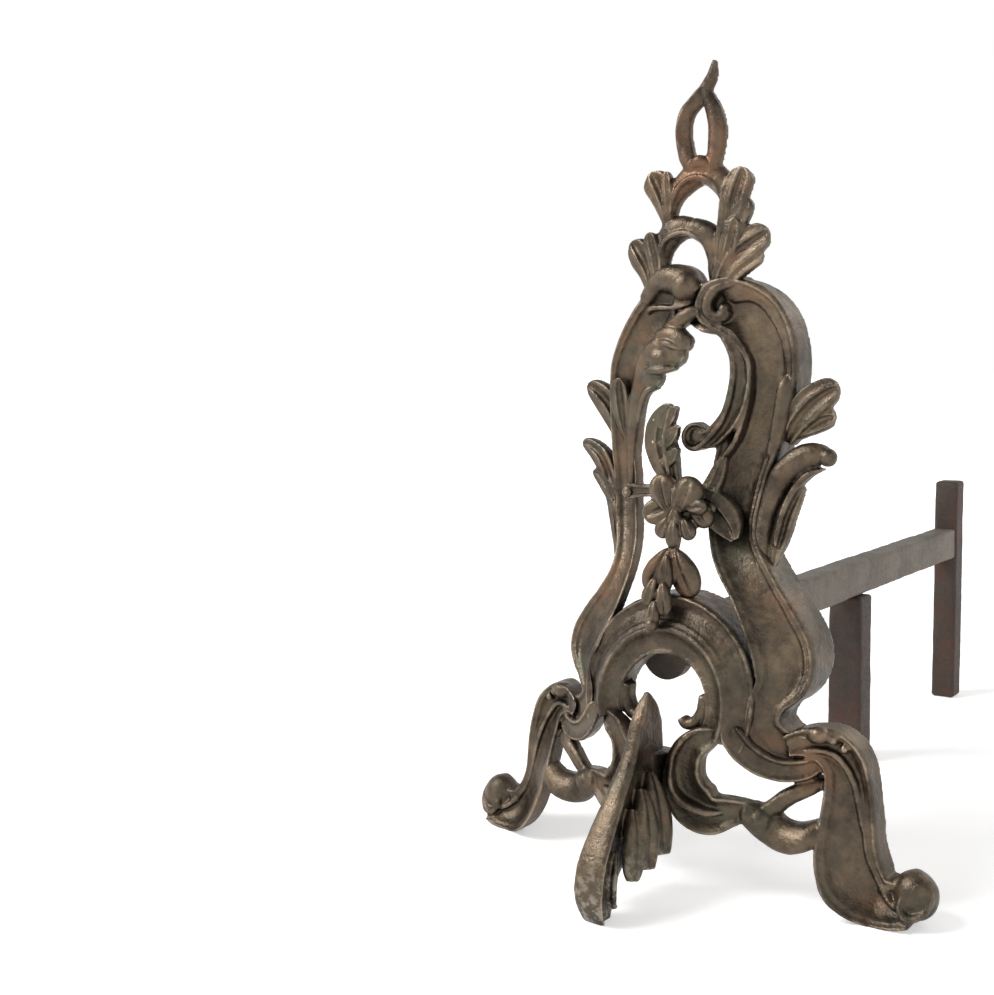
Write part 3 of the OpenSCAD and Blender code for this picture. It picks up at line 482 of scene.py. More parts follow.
leaves = {
    "left": [
        [[-49, 214, 5, 8, 4], [-52, 224, 8, 8, 2], [-58, 234, 8.5, 7, 0], [-65, 240.5, 6.6, 6, -1],
         [-71.5, 244, 3.6, 4, -1]],
        [[-45.4, 214, 1.4, 6, 3.4], [-46, 223, 4.6, 8, 0.4], [-46.5, 232, 7, 8, -2], [-47, 241, 6.8, 7, -3],
         [-46, 248, 4, 5, -3]],
        [[-46, 155, 2.5, 9, 6], [-51, 175, 4.5, 9, 2], [-56, 193, 6, 8, 0], [-62, 205, 6.5, 7, -1],
         [-70, 211, 4.6, 6, -1], [-76, 212.6, 2.6, 4, 0]],
        [[-44, 170, 3, 8, 4], [-51, 182, 4.5, 8, 1], [-60, 192, 4.4, 6, 0], [-68, 198, 2.4, 4, 0]]],
    "right": [
        [[44, 216, 4, 8, 5], [50, 226, 7, 8, 0], [57, 234.5, 8, 8, -1], [64, 240, 7, 7, -1],
         [70, 243, 5, 4, 0]],
        [[48, 220, 4, 8, 4], [56, 225, 6, 8, 1], [64, 228, 5.4, 6, 1.4], [68.4, 229, 3.4, 4, 1.4]],
        [[41.6, 150, 0.8, 4, 7], [43, 160, 2.6, 5, 5], [44, 168, 4.2, 6, 4], [46, 181, 5, 6, 3],
         [50, 191, 3.8, 5, 3], [52.6, 196, 2.4, 4, 3]]],
    "rightRoll": [
        [40, 150, 2, 10, 4], [37, 167, 3.6, 10, 1], [38, 184, 5, 10, 0], [44, 199, 6.4, 9, -2],
        [54, 208, 7, 8, -3], [62, 210, 5.6, 7, -3], [67, 208, 3, 5, -1]],
    "rollRidge": [
        [44, 166, 0.9, 8, 0.4], [45.6, 180, 1.2, 8, -0.4], [50, 192, 1.5, 8, -1.4], [57, 200.4, 1.6, 8, -2.4],
        [64, 203.4, 1.2, 6, -2]],
    "bells": [
        [[-40, 190, 2, 9, 0], [-39.4, 206, 3, 9, -1], [-38, 221, 4, 9, -2], [-35, 236, 5.2, 8, -3],
         [-30, 246, 6.2, 8, -4], [-23, 247.6, 6, 7, -5], [-17.6, 244.6, 4.6, 6, -4.4]],
        [[-34, 245, 3.4, 8, -2], [-28, 256, 6.4, 9, -4], [-18.5, 261.5, 8.6, 10, -5.6],
         [-11, 259.6, 7.8, 9, -5], [-4.6, 256.4, 5.6, 6, -3.4]],
        [[-21, 268, 4, 8, -3], [-12, 268.4, 6, 8, -5], [-5, 265, 5, 7, -5], [-1, 262, 3.8, 5, -3.4]],
        [[-17, 271, 3, 8, -1], [-10, 275, 4, 8, -3], [-3, 279, 4, 8, -3], [3, 281, 3, 8, -1]]],
    "bellFolds": [
        [[-35, 222, 1.4, 6, -1.6], [-31, 233, 2, 6, -3.4], [-26.5, 240.6, 2.2, 6, -5],
         [-20, 243, 1.8, 5, -4.6]],
        [[-31, 247, 1.6, 6, -3.4], [-25, 251, 2.2, 6, -6], [-17.6, 251.6, 2.4, 6, -7],
         [-9, 252.6, 2, 5, -5.4]],
        [[-20, 266, 1.4, 6, -5], [-12, 264.6, 2, 6, -6.8], [-5, 261.6, 1.6, 5, -6]]],
    "bellSwelling": [-18, 257.6, 7.4, -7, 10, 1.2, 0.86],
    "rollEnd": [66, 209, 4.6, -4, 5], "rollRoot": [47, 206, 3.2, -1, 8],
    "grid": 0.6,
}


def makeLeaves():
    leftParts = [sweep(r, bladeSection, blunt=True) for r in leaves["left"]]
    leftParts += [sweep(r, bellSection, 8, blunt=True) for r in leaves["bells"]]
    leftParts += [sweep(r, rollSection, 5, melt=2) for r in leaves["bellFolds"]]
    leftParts += [boss(*leaves["bellSwelling"])]
    rightParts = [sweep(r, bladeSection, blunt=True) for r in leaves["right"]]
    rightParts += [sweep(leaves["rightRoll"], rollSection, melt=4),
                   sweep(leaves["rollRidge"], rollSection, 5, melt=2),
                   boss(*leaves["rollEnd"]),
                   boss(*leaves["rollRoot"])]
    return [castTogether("acanthus_left", leftParts, leaves["grid"]),
            castTogether("acanthus_right", rightParts, leaves["grid"])]


crest = {
    "rolls": [
        [[12, 290, 4, 8, 2], [10, 298, 4.8, 8, 2], [10, 307, 5.4, 7, 1], [6, 317, 6, 7, 0],
         [-3, 322, 5, 7, 0]],
        [[-1, 321, 4.5, 7, 1], [-9, 322, 6.4, 7, 0], [-16, 319, 7, 7, 0], [-22, 311, 6.4, 7, 1],
         [-25, 300, 6, 8, 1], [-27, 288, 5, 9, 2]],
        [[-18, 321, 3, 7, 2], [-16, 330, 3.8, 7, 1], [-12, 339, 5.4, 7, 0], [-4, 346, 6.6, 7, 0],
         [4, 348, 6.4, 7, 0], [12, 343, 6, 7, 0], [17, 335, 5.2, 7, 0], [19, 324, 5.4, 7, 0],
         [16, 312, 5, 7, 1], [12, 300, 4, 8, 2]],
        [[0, 347, 3, 6, 0], [-5, 355, 4.4, 6, 0], [-7.5, 366, 4.6, 6, 0], [-6, 376, 4.4, 6, 0],
         [0, 382, 4, 5, 0], [5, 387, 3.6, 5, 0], [9, 393, 2.8, 4, 0], [11, 399.7, 1.2, 3, 0]],
        [[8, 346, 3, 6, 0], [10, 356, 4.4, 6, 0], [11, 367, 4.8, 6, 0], [9, 377, 4.2, 6, 0],
         [5, 386, 3, 5, 0]]],
    "folds": [
        [[-20, 306, 1.2, 5, -0.4], [-17.6, 315, 1.4, 5, -1.4], [-10, 319, 1.5, 5, -1.4],
         [-3, 318.6, 1.4, 5, -1.2], [4, 315, 1.2, 5, -0.6]],
        [[-13.6, 332, 1.2, 5, -0.4], [-9.6, 340, 1.4, 5, -1.4], [-3.6, 344.4, 1.5, 5, -1.4],
         [4, 345, 1.5, 5, -1.4], [10.6, 341, 1.4, 5, -1.2], [14.6, 333, 1.2, 5, -0.6]],
        [[-6, 358, 0.9, 4, -0.4], [-9, 367, 1.1, 4, -1.2], [-7, 376, 1.1, 4, -1.2], [-1, 383, 1.1, 4, -1.2],
         [6, 390, 0.8, 4, -0.6]],
        [[-2.4, 350, 3, 5, -1.4], [2.6, 352.6, 3.6, 5, -2.4], [8, 350, 3, 5, -1.6]]],
    "blades": [
        [[-16, 322, 2.5, 6, 2], [-17.6, 331, 4.4, 6, 0], [-20.4, 340, 7, 5, -1], [-23.6, 346, 7.6, 5, -1],
         [-26, 350.4, 5.6, 4, 0]],
        [[-15, 330, 2, 5, 0], [-15, 338, 3, 5, -1.4], [-15.4, 345, 3, 4, -1.6], [-15.6, 350, 2, 4, -1]],
        [[-26, 290, 4, 7, 2], [-28, 300, 5.8, 6, 0], [-32, 308, 7.4, 6, -1], [-36.4, 313.6, 6.8, 5, 0],
         [-39.6, 317.4, 4.4, 4, 1]],
        [[-22, 296, 3, 6, 0], [-22.6, 306, 4.4, 6, -2], [-24.6, 315, 4.4, 5, -2.4], [-26, 321, 3, 4, -2]],
        [[14, 308, 4, 6, 0], [18, 322, 6, 5, -1], [21, 334, 7.2, 5, -2], [23.6, 342.6, 6.8, 5, -1],
         [25.4, 348, 4.6, 4, 0]],
        [[16, 314, 3, 5, 1], [22, 322, 5, 5, -1], [26.4, 329, 4.6, 4, -1.4], [28.4, 333, 3.2, 4, -1]],
        [[11, 292, 4, 7, 1], [17, 302, 6.6, 6, -1], [25, 309.6, 8.2, 5, -2], [32.4, 314.6, 7, 5, -1],
         [37.6, 317.4, 4.6, 4, 0]],
        [[14, 292, 3, 6, 1], [24, 301, 5.2, 5, -1], [31, 305, 4.6, 5, -1], [35, 306.6, 3, 4, 0]],
        [[14, 300, 3, 6, 1], [18.4, 310, 5, 5, -2], [20.6, 318, 4.6, 4, -2.4], [22, 324, 3, 4, -2]]],
    "grid": 0.65,
}


def makeCrest():
    parts = [sweep(r, rollSection) for r in crest["rolls"]]
    parts += [sweep(r, rollSection, melt=1.5) for r in crest["folds"]]
    parts += [sweep(r, bladeSection, blunt=True) for r in crest["blades"]]
    return castTogether("crest", parts, crest["grid"])


print("modelling the front")
frontPieces = makeLyre() + [makeArch()] + makeBase() + makeLeaves() + [makeCrest()]


console = {
    "fin": [
        [-37.3, 98, 0.9, 0.4], [-37.2, 93, 6, 0.7], [-37.2, 86, 11, 0.9], [-38, 75, 15.5, 1],
        [-40.5, 63.5, 18.5, 1.05], [-47.5, 52.5, 19.5, 1.15], [-60, 42.5, 17, 1.4], [-74, 32, 13, 1.75],
        [-83.5, 22.5, 10.5, 2], [-86.5, 13.5, 9, 2], [-85.5, 6, 7.4, 1.7], [-83, 0, 5.4, 1.3],
        [-81.5, -5, 3, 0.8]],
    "section": [(0, -1), (0.45, -0.985), (0.8, -0.94), (0.97, -0.87), (0.98, -0.8), (0.82, -0.74),
                (0.7, -0.7), (0.62, -0.6), (0.58, -0.4), (0.58, -0.1), (0.64, 0.3), (0.72, 0.7), (0.6, 0.94),
                (0.25, 1)],
    # leaf over the lower fin: each lobe as [x, y, z, half width, thickness] from root to tip
    "lobes": [
        [[3, -42, 60, 3, 6], [7.6, -44, 51, 5.8, 7], [11, -46, 40, 8, 7], [12.6, -48, 30, 7.8, 6.4],
         [14.8, -49.6, 24, 4.8, 4.6]],
        [[4, -52, 54, 3, 6], [8.4, -55.4, 46, 5.4, 7], [11.6, -59, 36, 7.4, 7], [13, -62, 26.6, 6.8, 6],
         [15, -63.8, 21, 4.2, 4.2]],
        [[4.4, -61, 46, 3.4, 6], [8.4, -65.4, 39, 5.4, 6.6], [11, -70, 30.6, 6.6, 6.6],
         [12, -73, 22.6, 5.8, 5.4], [12.4, -74.2, 18, 3.4, 4]]],
    "toeCurl": [
        [4.6, -76, 30, 1.4], [6.6, -80, 24, 1.6], [7.4, -82.6, 17, 1.6], [7, -82.4, 10.6, 1.5],
        [5.4, -79.6, 6, 1.3], [4.6, -76.4, 5, 1]],
    "seat": -26, "reach": 90, "halfWidth": 4,
    "root": {"backWidth": 11, "frontWidth": 5, "frontY": -40, "middleZ": 53, "tall": 28},
    "grid": 0.6,
}
lobeSection = [(-1, -0.1), (-0.9, 0.22), (-0.7, 0.44), (-0.42, 0.54), (-0.16, 0.48), (0, 0.38), (0.16, 0.48),
               (0.42, 0.54), (0.7, 0.44), (0.9, 0.22), (1, -0.1), (0.7, -0.5), (0, -0.6), (-0.7, -0.5)]


def lobe(points, side, footY):
    # a lobe of the leaf: its width lies along the fin and its face looks outwards
    path = smoothRows(points, 6)
    table = []
    for i, p in enumerate(path):
        run = heading(path, i, (side, 1, 1))
        across = run.cross(Vector((side, -0.35, 0.1)))
        across.normalize()
        out = across.cross(run)
        if out.x * side < 0:
            out = -out
        spot = Vector((side * p[0], footY(p[1]) - centreY, p[2]))
        table.append([(spot + across * u * p[3] + out * f * p[4]) * mm for u, f in lobeSection])
    return wrapGrid(table)


def makeConsole():
    path = smoothRows(console["fin"], 8)
    half = console["section"]
    ring = half + [(-u, s) for u, s in reversed(half)][:-1]
    table, front = [], 0.0
    for i, r in enumerate(path):
        run = heading(path, i)
        row = []
        for u, s in ring:
            y, z = r[0] - run.y * s * r[2], r[1] + run.x * s * r[2]
            if z > 0:
                front = min(front, y)
            row.append([u * r[3] * console["halfWidth"], y, z])
        table.append(row)
    grow = (console["reach"] + console["seat"]) / (console["seat"] - front)

    def footY(y):
        return console["seat"] + (y - console["seat"]) * grow

    parts = [wrapGrid([[Vector((p[0], footY(p[1]) - centreY, p[2])) * mm for p in row] for row in table])]
    for side in (-1, 1):
        for points in console["lobes"]:
            parts.append(lobe(points, side, footY))
        parts.append(tube([[side * x, footY(y), z, r] for x, y, z, r in console["toeCurl"]], 5))
    block = unitCube()
    root = console["root"]
    for v in block.data.vertices:
        wide, y = root["frontWidth"], footY(root["frontY"])
        if v.co.y > 0:
            wide, y = root["backWidth"], console["seat"]
        v.co = Vector((v.co.x * wide, y - centreY, root["middleZ"] + v.co.z * root["tall"])) * mm
    parts.append(block)
    piece = castTogether("console_foot_leaf", parts, console["grid"])
    for v in piece.data.vertices:
        v.co.y = min(v.co.y, (console["seat"] - centreY) * mm)
    return piece


print("modelling the middle foot")
consolePiece = makeConsole()


spray = {
    # petals as x, z, turn, length, width, lift, thickness, cup, fold
    "rose": [
        [-7, 181, -14, 20, 17, -9.4, 12, 1, 2.8], [-0.4, 182, 27, 19, 18, -9.6, 13, 1, 1.6],
        [-1, 187, 246, 21, 15, -9, 8, 5, 2.4], [4, 188, 140, 17, 13, -8, 10, 2, 1.8],
        [-2.6, 183, 10, 12, 6, -12.6, 6, 1, 1.6], [-2, 186, 190, 13, 9, -11, 8, 1.6, 1.6],
        [3, 184, 84, 13, 9, -11.6, 7, 2, 1.6]],
    "leaf": [
        [-8, 194, 4, 6, -8], [-13.5, 205, 8, 6, -8], [-16, 216, 9.4, 5, -9], [-14, 226, 7.6, 5, -9],
        [-8.6, 234.6, 2.4, 4, -9]],
    "cusps": [
        [[-13, 204, 3, 5, -9], [-8, 208.6, 3.4, 5, -10], [-4.4, 213, 1, 4, -10]],
        [[-14, 213, 3, 5, -9], [-8, 219, 3.4, 5, -10], [-4.2, 224, 1, 4, -10]],
        [[-14, 222, 3, 5, -9], [-8.6, 228.6, 3.2, 5, -10], [-4.6, 233.6, 1, 4, -10]]],
    "leafFold": [
        [-9, 198, 1, 5, -9.6], [-10.8, 208, 1.3, 5, -10.6], [-11.6, 218, 1.3, 5, -10.8],
        [-9.6, 228, 1.1, 5, -10.6], [-7.4, 234, 0.7, 4, -9.6]],
    "leftLeaf": [[-8, 188, 4, 5, -8], [-16, 184, 5.6, 5, -8], [-24, 180, 1.4, 4, -7]],
    "stem": [[-10, 192, 2.8, 4, -7], [-22, 191, 3, 4, -7], [-31, 190, 3.4, 4, -6], [-37, 189, 4, 3.4, -4.6]],
    "stemRidges": [
        [[-12, 193.4, 0.9, 3, -8], [-24, 192.8, 1, 3, -8], [-33, 192.6, 1.1, 3, -6.6],
         [-38.6, 193, 0.9, 3, -4.8]],
        [[-14, 189, 0.9, 3, -8], [-24, 188.4, 1, 3, -8], [-33, 187, 1.1, 3, -6.6],
         [-38, 185.6, 0.9, 3, -4.8]]],
    "calyx": [
        [3, 191, 4.6, 5.4, -8], [12, 186, 7.5, 6, -7], [19, 180, 8, 5.4, -6], [24, 174, 6, 4.4, -5],
        [27, 169, 2, 3, -4]],
    "climber": [[7, 187, 3.6, 5, -7], [12, 194, 4.8, 5, -6], [16, 203, 3.8, 4, -5], [19, 209, 1.2, 4, -4]],
    "dropStem": [[-4, 184, 3, 5, -8], [-4, 176, 3, 5, -8], [-3.4, 166, 2.6, 5, -8], [-3, 158, 3, 5, -8]],
    # cluster under the rose, the two lobes of the drop, then the tassel
    "drop": [
        [-6, 179, 208, 12, 10, -9.6, 7, 1.6, 1], [1.4, 179, 152, 12, 10, -9.6, 7, 1.6, 1],
        [-2.6, 178, 180, 14, 9, -12, 6, 1.6, 1], [-4, 164, 205, 26, 18, -8, 10, 1, 1.4],
        [-1, 164, 155, 26, 18, -8, 10, 1, 1.4], [-2.6, 162, 180, 20, 9, -12.6, 7, 1, 1],
        [-7, 150, 196, 15, 10, -10, 7, 1.4, 1], [-2, 149, 172, 17, 10, -11, 7, 1.4, 1],
        [-4.4, 140, 184, 15, 9, -10, 7, 1.4, 1]],
    # balls as x, z, radius, lift, depth
    "heart": [[-1, 185, 5.6, -10.6, 9], [-1, 192, 6, -7.4, 10], [1, 181, 6.4, -8.4, 8]],
    "tip": [-4.4, 128, 3.4, -9.4, 3.6],
    "grid": 0.5, "relax": 2,
}


def makeSpray():
    parts = [petal(*p) for p in spray["rose"] + spray["drop"]]
    parts += [boss(*b) for b in spray["heart"]]
    parts += [sweep(spray["leaf"], petalSection, 8, blunt=True),
              sweep(spray["leafFold"], rollSection),
              sweep(spray["leftLeaf"], bladeSection),
              sweep(spray["stem"], rollSection),
              sweep(spray["calyx"], bladeSection),
              sweep(spray["climber"], bladeSection),
              sweep(spray["dropStem"], rollSection)]
    parts += [sweep(c, petalSection) for c in spray["cusps"]]
    parts += [sweep(r, rollSection) for r in spray["stemRidges"]]
    parts += [boss(*spray["tip"])]
    return castTogether("flower_spray_cast", parts, spray["grid"], spray["relax"])


print("modelling the spray")
sprayPiece = makeSpray()


# edges, depth and width of the hammer marks in mm; the tenons' half width, heights and root in metres
iron = {"edge": 1.6, "hammer": 0.6, "cell": 1.2, "broadDent": 16, "fineDent": 6,
        "tenonHalf": 0.005, "tenonLow": 0.111, "tenonHigh": 0.125, "tenonRoot": 0.002,
        "tenonEdge": 0.6, "endHammer": 0.1, "frontHammer": 0.15}


def forgedBar(name, low, high, edge, hammer):
    # a billet with softened edges and hammered faces, all inside its box
    bar = unitCube([(a + b) / 2 for a, b in zip(low, high)])
    bar.name = name
    bar.data.name = name
    bar.scale = [b - a for a, b in zip(low, high)]
    bpy.ops.object.transform_apply(location=True, rotation=False, scale=True)
    bpy.ops.object.mode_set(mode="EDIT")
    bpy.ops.mesh.select_all(action="SELECT")
    bpy.ops.mesh.bevel(offset=edge * mm, segments=2, affect="EDGES")
    bpy.ops.object.mode_set(mode="OBJECT")
    finer = bar.modifiers.new("finer", "REMESH")
    finer.mode = "VOXEL"
    finer.voxel_size = iron["cell"] * mm
    bpy.ops.object.modifier_apply(modifier="finer")
    calm = bar.modifiers.new("calm", "SMOOTH")
    calm.iterations = 2
    bpy.ops.object.modifier_apply(modifier="calm")
    outward = [v.normal.copy() for v in bar.data.vertices]
    for v, normal in zip(bar.data.vertices, outward):
        p = v.co / mm
        dent = noise.noise(p / iron["broadDent"]) * 0.7 + noise.noise(p / iron["fineDent"]) * 0.3
        v.co -= normal * max(0.0, 0.4 + dent) * hammer * mm
    bpy.ops.object.shade_smooth()
    return bar


def makeIron():
    # the bar shows between the plate and the post, and its tenons in the holes of both
    low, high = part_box("billet_bar")
    plateBack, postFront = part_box("fixing_plate")[1][1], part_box("rear_post")[0][1]
    half, bottom, top = iron["tenonHalf"], iron["tenonLow"], iron["tenonHigh"]
    edge, hammer = iron["edge"], iron["hammer"]
    bar = forgedBar("log_bar", [low[0], plateBack, low[2]], [high[0], postFront, high[2]], edge, hammer)
    tenon = forgedBar("tenon_end", [-half, postFront - iron["tenonRoot"], bottom], [half, high[1], top],
                      iron["tenonEdge"], iron["endHammer"])
    inner = forgedBar("tenon_front", [-half, low[1], bottom], [half, plateBack, top],
                      iron["tenonEdge"], iron["frontHammer"])
    deselectAll()
    for o in (bar, tenon, inner):
        o.select_set(True)
    bpy.context.view_layer.objects.active = bar
    bpy.ops.object.join()
    post = forgedBar("rear_post_iron", *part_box("rear_post"), edge, hammer)
    footLow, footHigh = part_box("mid_foot")
    foot = forgedBar("mid_foot_iron", footLow, [footHigh[0], footHigh[1], low[2]], edge, hammer)
    return bar, post, foot


print("forging the iron")
barPiece, postPiece, footPiece = makeIron()


# the darkest colour is painted shade in the hollows over dark patina, and the palest is worn metal with a
# painted highlight on the ridges
bronze = {"deep": "#3a322a", "middle": "#4f453a", "brown": "#605344", "light": "#72634f", "green": "#474b3e",
          "copper": "#75553f", "hollowPatinaAndShade": "#1e1915", "wearAndHighlight": "#c2b19d", "bare": "#a39c90"}


def linear(hexColour):
    parts = [int(hexColour[i:i + 2], 16) / 255 for i in (1, 3, 5)]
    return [p / 12.92 if p <= 0.04045 else ((p + 0.055) / 1.055) ** 2.4 for p in parts] + [1.0]


def addNode(tree, kind, inputs=None, **settings):
    made = tree.nodes.new(kind)
    for key, value in settings.items():
        setattr(made, key, value)
    for key, value in (inputs or {}).items():
        if isinstance(value, bpy.types.NodeSocket):
            tree.links.new(value, made.inputs[key])
        else:
            made.inputs[key].default_value = value
    return made


def newMaterial(name):
    material = bpy.data.materials.new(name)
    material.use_nodes = True
    tree = material.node_tree
    tree.nodes.clear()
    return material, tree


def rampStops(ramp, stops):
    band = ramp.color_ramp
    while len(band.elements) > 1:
        band.elements.remove(band.elements[-1])
    band.elements[0].position, band.elements[0].color = stops[0]
    for place, colour in stops[1:]:
        band.elements.new(place).color = colour


# Cast bronze, sand moulded and chased, with an old brown patina. It gives broad soft highlights, nearly
# black hollows that are partly dark patina and partly painted shade, greenish and coppery clouds, and ridges
# painted pale, partly worn to a dull pale metal and partly a painted highlight.
# Scales are cells in a metre: clouds of 24 mm, mottling of 5, specks of 1.6, green of 60, copper of 42
def castBronze(name, bareHeight=0.0):
    material, tree = newMaterial(name)
    place = addNode(tree, "ShaderNodeTexCoord").outputs["Object"]
    geo = addNode(tree, "ShaderNodeNewGeometry")
    cloud = addNode(tree, "ShaderNodeTexNoise", {
        "Vector": place, "Scale": 42.0, "Detail": 5.0, "Roughness": 0.6})
    mottle = addNode(tree, "ShaderNodeTexNoise", {
        "Vector": place, "Scale": 210.0, "Detail": 4.0, "Roughness": 0.65})
    speck = addNode(tree, "ShaderNodeTexNoise", {
        "Vector": place, "Scale": 620.0, "Detail": 3.0, "Roughness": 0.6})
    mixed = addNode(tree, "ShaderNodeMath", {0: cloud.outputs["Fac"], 1: 0.65}, operation="MULTIPLY")
    toned = addNode(tree, "ShaderNodeMath", {0: mottle.outputs["Fac"], 1: 0.35, 2: mixed.outputs["Value"]},
                    operation="MULTIPLY_ADD")
    patina = addNode(tree, "ShaderNodeValToRGB", {"Fac": toned.outputs["Value"]})
    rampStops(patina, [(0.36, linear(bronze["deep"])), (0.47, linear(bronze["middle"])),
                       (0.56, linear(bronze["brown"])), (0.66, linear(bronze["light"]))])
    green = addNode(tree, "ShaderNodeTexNoise", {
        "Vector": place, "Scale": 17.0, "Detail": 6.0, "Roughness": 0.68})
    greenShare = addNode(tree, "ShaderNodeMapRange", {
        "Value": green.outputs["Fac"], "From Min": 0.53, "From Max": 0.68, "To Min": 0.0, "To Max": 0.7})
    body = addNode(tree, "ShaderNodeMix", {
        "Factor": greenShare.outputs["Result"], "A": patina.outputs["Color"], "B": linear(bronze["green"])},
        data_type="RGBA")
    copper = addNode(tree, "ShaderNodeTexNoise", {
        "Vector": place, "Scale": 24.0, "Detail": 4.0, "Roughness": 0.6})
    copperShare = addNode(tree, "ShaderNodeMapRange", {
        "Value": copper.outputs["Fac"], "From Min": 0.55, "From Max": 0.7, "To Min": 0.0, "To Max": 0.62})
    warmed = addNode(tree, "ShaderNodeMix", {
        "Factor": copperShare.outputs["Result"], "A": body.outputs["Result"], "B": linear(bronze["copper"])},
        data_type="RGBA")
    # painted shade: the occlusion darkens the hollows and the gaps between parts towards near black, partly
    # dark patina and partly shade painted into the colour
    hollow = addNode(tree, "ShaderNodeAmbientOcclusion", {"Distance": 0.016}, samples=8)
    hollowShare = addNode(tree, "ShaderNodeMapRange", {
        "Value": hollow.outputs["AO"], "From Min": 0.3, "From Max": 0.85, "To Min": 0.82, "To Max": 0.0})
    darker = addNode(tree, "ShaderNodeMix", {
        "Factor": hollowShare.outputs["Result"], "A": warmed.outputs["Result"], "B": linear(bronze["hollowPatinaAndShade"])},
        data_type="RGBA")
    # pale where the skin bulges, and only where the mottling lets it: partly worn metal and partly a painted
    # highlight on the ridges
    edge = addNode(tree, "ShaderNodeMapRange", {
        "Value": geo.outputs["Pointiness"], "From Min": 0.515, "From Max": 0.6, "To Min": 0.0, "To Max": 1.0})
    wearAndHighlightMap = addNode(tree, "ShaderNodeMapRange", {
        "Value": toned.outputs["Value"], "From Min": 0.42, "From Max": 0.56, "To Min": 0.04, "To Max": 1.0})
    broken = addNode(tree, "ShaderNodeMath", {
        0: edge.outputs["Result"], 1: wearAndHighlightMap.outputs["Result"]}, operation="MULTIPLY")
    wearAndHighlight = addNode(tree, "ShaderNodeMix", {"Factor": broken.outputs["Value"], "A": darker.outputs["Result"],
                                           "B": linear(bronze["wearAndHighlight"])}, data_type="RGBA")
    if bareHeight:
        # rubbed to bare pale metal in blotches, up to a height in metres
        height = addNode(tree, "ShaderNodeSeparateXYZ", {"Vector": place})
        low = addNode(tree, "ShaderNodeMapRange", {
            "Value": height.outputs["Z"], "From Min": bareHeight, "From Max": bareHeight * 0.4, "To Min": 0.0,
            "To Max": 1.0})
        blotch = addNode(tree, "ShaderNodeMapRange", {
            "Value": mottle.outputs["Fac"], "From Min": 0.5, "From Max": 0.6, "To Min": 0.0, "To Max": 0.55})
        bareShare = addNode(tree, "ShaderNodeMath", {
            0: low.outputs["Result"], 1: blotch.outputs["Result"]}, operation="MULTIPLY")
        wearAndHighlight = addNode(tree, "ShaderNodeMix", {
            "Factor": bareShare.outputs["Value"], "A": wearAndHighlight.outputs["Result"], "B": linear(bronze["bare"])},
            data_type="RGBA")
    rough = addNode(tree, "ShaderNodeMapRange", {
        "Value": mottle.outputs["Fac"], "From Min": 0.35, "From Max": 0.65, "To Min": 0.3, "To Max": 0.52})
    # casting skin: dimples of 2 to 5 mm and pits under 1 mm
    dimple = addNode(tree, "ShaderNodeBump", {
        "Height": mottle.outputs["Fac"], "Strength": 0.35, "Distance": 0.0012})
    bump = addNode(tree, "ShaderNodeBump", {
        "Height": speck.outputs["Fac"], "Strength": 0.45, "Distance": 0.0007,
        "Normal": dimple.outputs["Normal"]})
    shader = addNode(tree, "ShaderNodeBsdfPrincipled", {
        "Base Color": wearAndHighlight.outputs["Result"], "Metallic": 0.8, "Roughness": rough.outputs["Result"],
        "Normal": bump.outputs["Normal"]})
    addNode(tree, "ShaderNodeOutputMaterial", {"Surface": shader.outputs["BSDF"]})
    return material


# Wrought iron under thin mill scale: grey-brown and dry, with a fine bloom of rust.
# Clouds of 33 mm, rust of 18 mm, grain of 1.7 mm
def forgedIron(name, light, mid, rust, rustShare):
    material, tree = newMaterial(name)
    place = addNode(tree, "ShaderNodeTexCoord").outputs["Object"]
    cloud = addNode(tree, "ShaderNodeTexNoise", {
        "Vector": place, "Scale": 30.0, "Detail": 6.0, "Roughness": 0.65})
    grain = addNode(tree, "ShaderNodeTexNoise", {
        "Vector": place, "Scale": 600.0, "Detail": 3.0, "Roughness": 0.6})
    scale = addNode(tree, "ShaderNodeValToRGB", {"Fac": cloud.outputs["Fac"]})
    rampStops(scale, [(0.35, linear(mid)), (0.65, linear(light))])
    rustMap = addNode(tree, "ShaderNodeTexNoise", {
        "Vector": place, "Scale": 55.0, "Detail": 8.0, "Roughness": 0.7})
    share = addNode(tree, "ShaderNodeMapRange", {
        "Value": rustMap.outputs["Fac"], "From Min": 0.62 - rustShare * 0.3,
        "From Max": 0.82 - rustShare * 0.3, "To Min": 0.0, "To Max": 0.8})
    colour = addNode(tree, "ShaderNodeMix", {"Factor": share.outputs["Result"], "A": scale.outputs["Color"],
                                             "B": linear(rust)}, data_type="RGBA")
    rough = addNode(tree, "ShaderNodeMapRange", {
        "Value": grain.outputs["Fac"], "From Min": 0.3, "From Max": 0.7, "To Min": 0.5, "To Max": 0.75})
    bump = addNode(tree, "ShaderNodeBump", {
        "Height": grain.outputs["Fac"], "Strength": 0.3, "Distance": 0.0004})
    shader = addNode(tree, "ShaderNodeBsdfPrincipled", {
        "Base Color": colour.outputs["Result"], "Metallic": 0.35, "Roughness": rough.outputs["Result"],
        "Normal": bump.outputs["Normal"]})
    addNode(tree, "ShaderNodeOutputMaterial", {"Surface": shader.outputs["BSDF"]})
    return material


bronzeFinish = castBronze("brown_patinated_cast_bronze")
toeFinish = castBronze("cast_bronze_rubbed_bare_at_the_toe", 0.036)
ironFinish = forgedIron("mill_scaled_wrought_iron", "#6e655b", "#534b43", "#57443a", 0.2)
rustFinish = forgedIron("rusted_wrought_iron", "#41362e", "#2f2823", "#462b22", 0.6)


def dress(piece, finish, slotName, *nodes):
    piece.data.materials.clear()
    piece.data.materials.append(finish)
    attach(piece, "root")
    if nodes:
        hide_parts(*nodes)


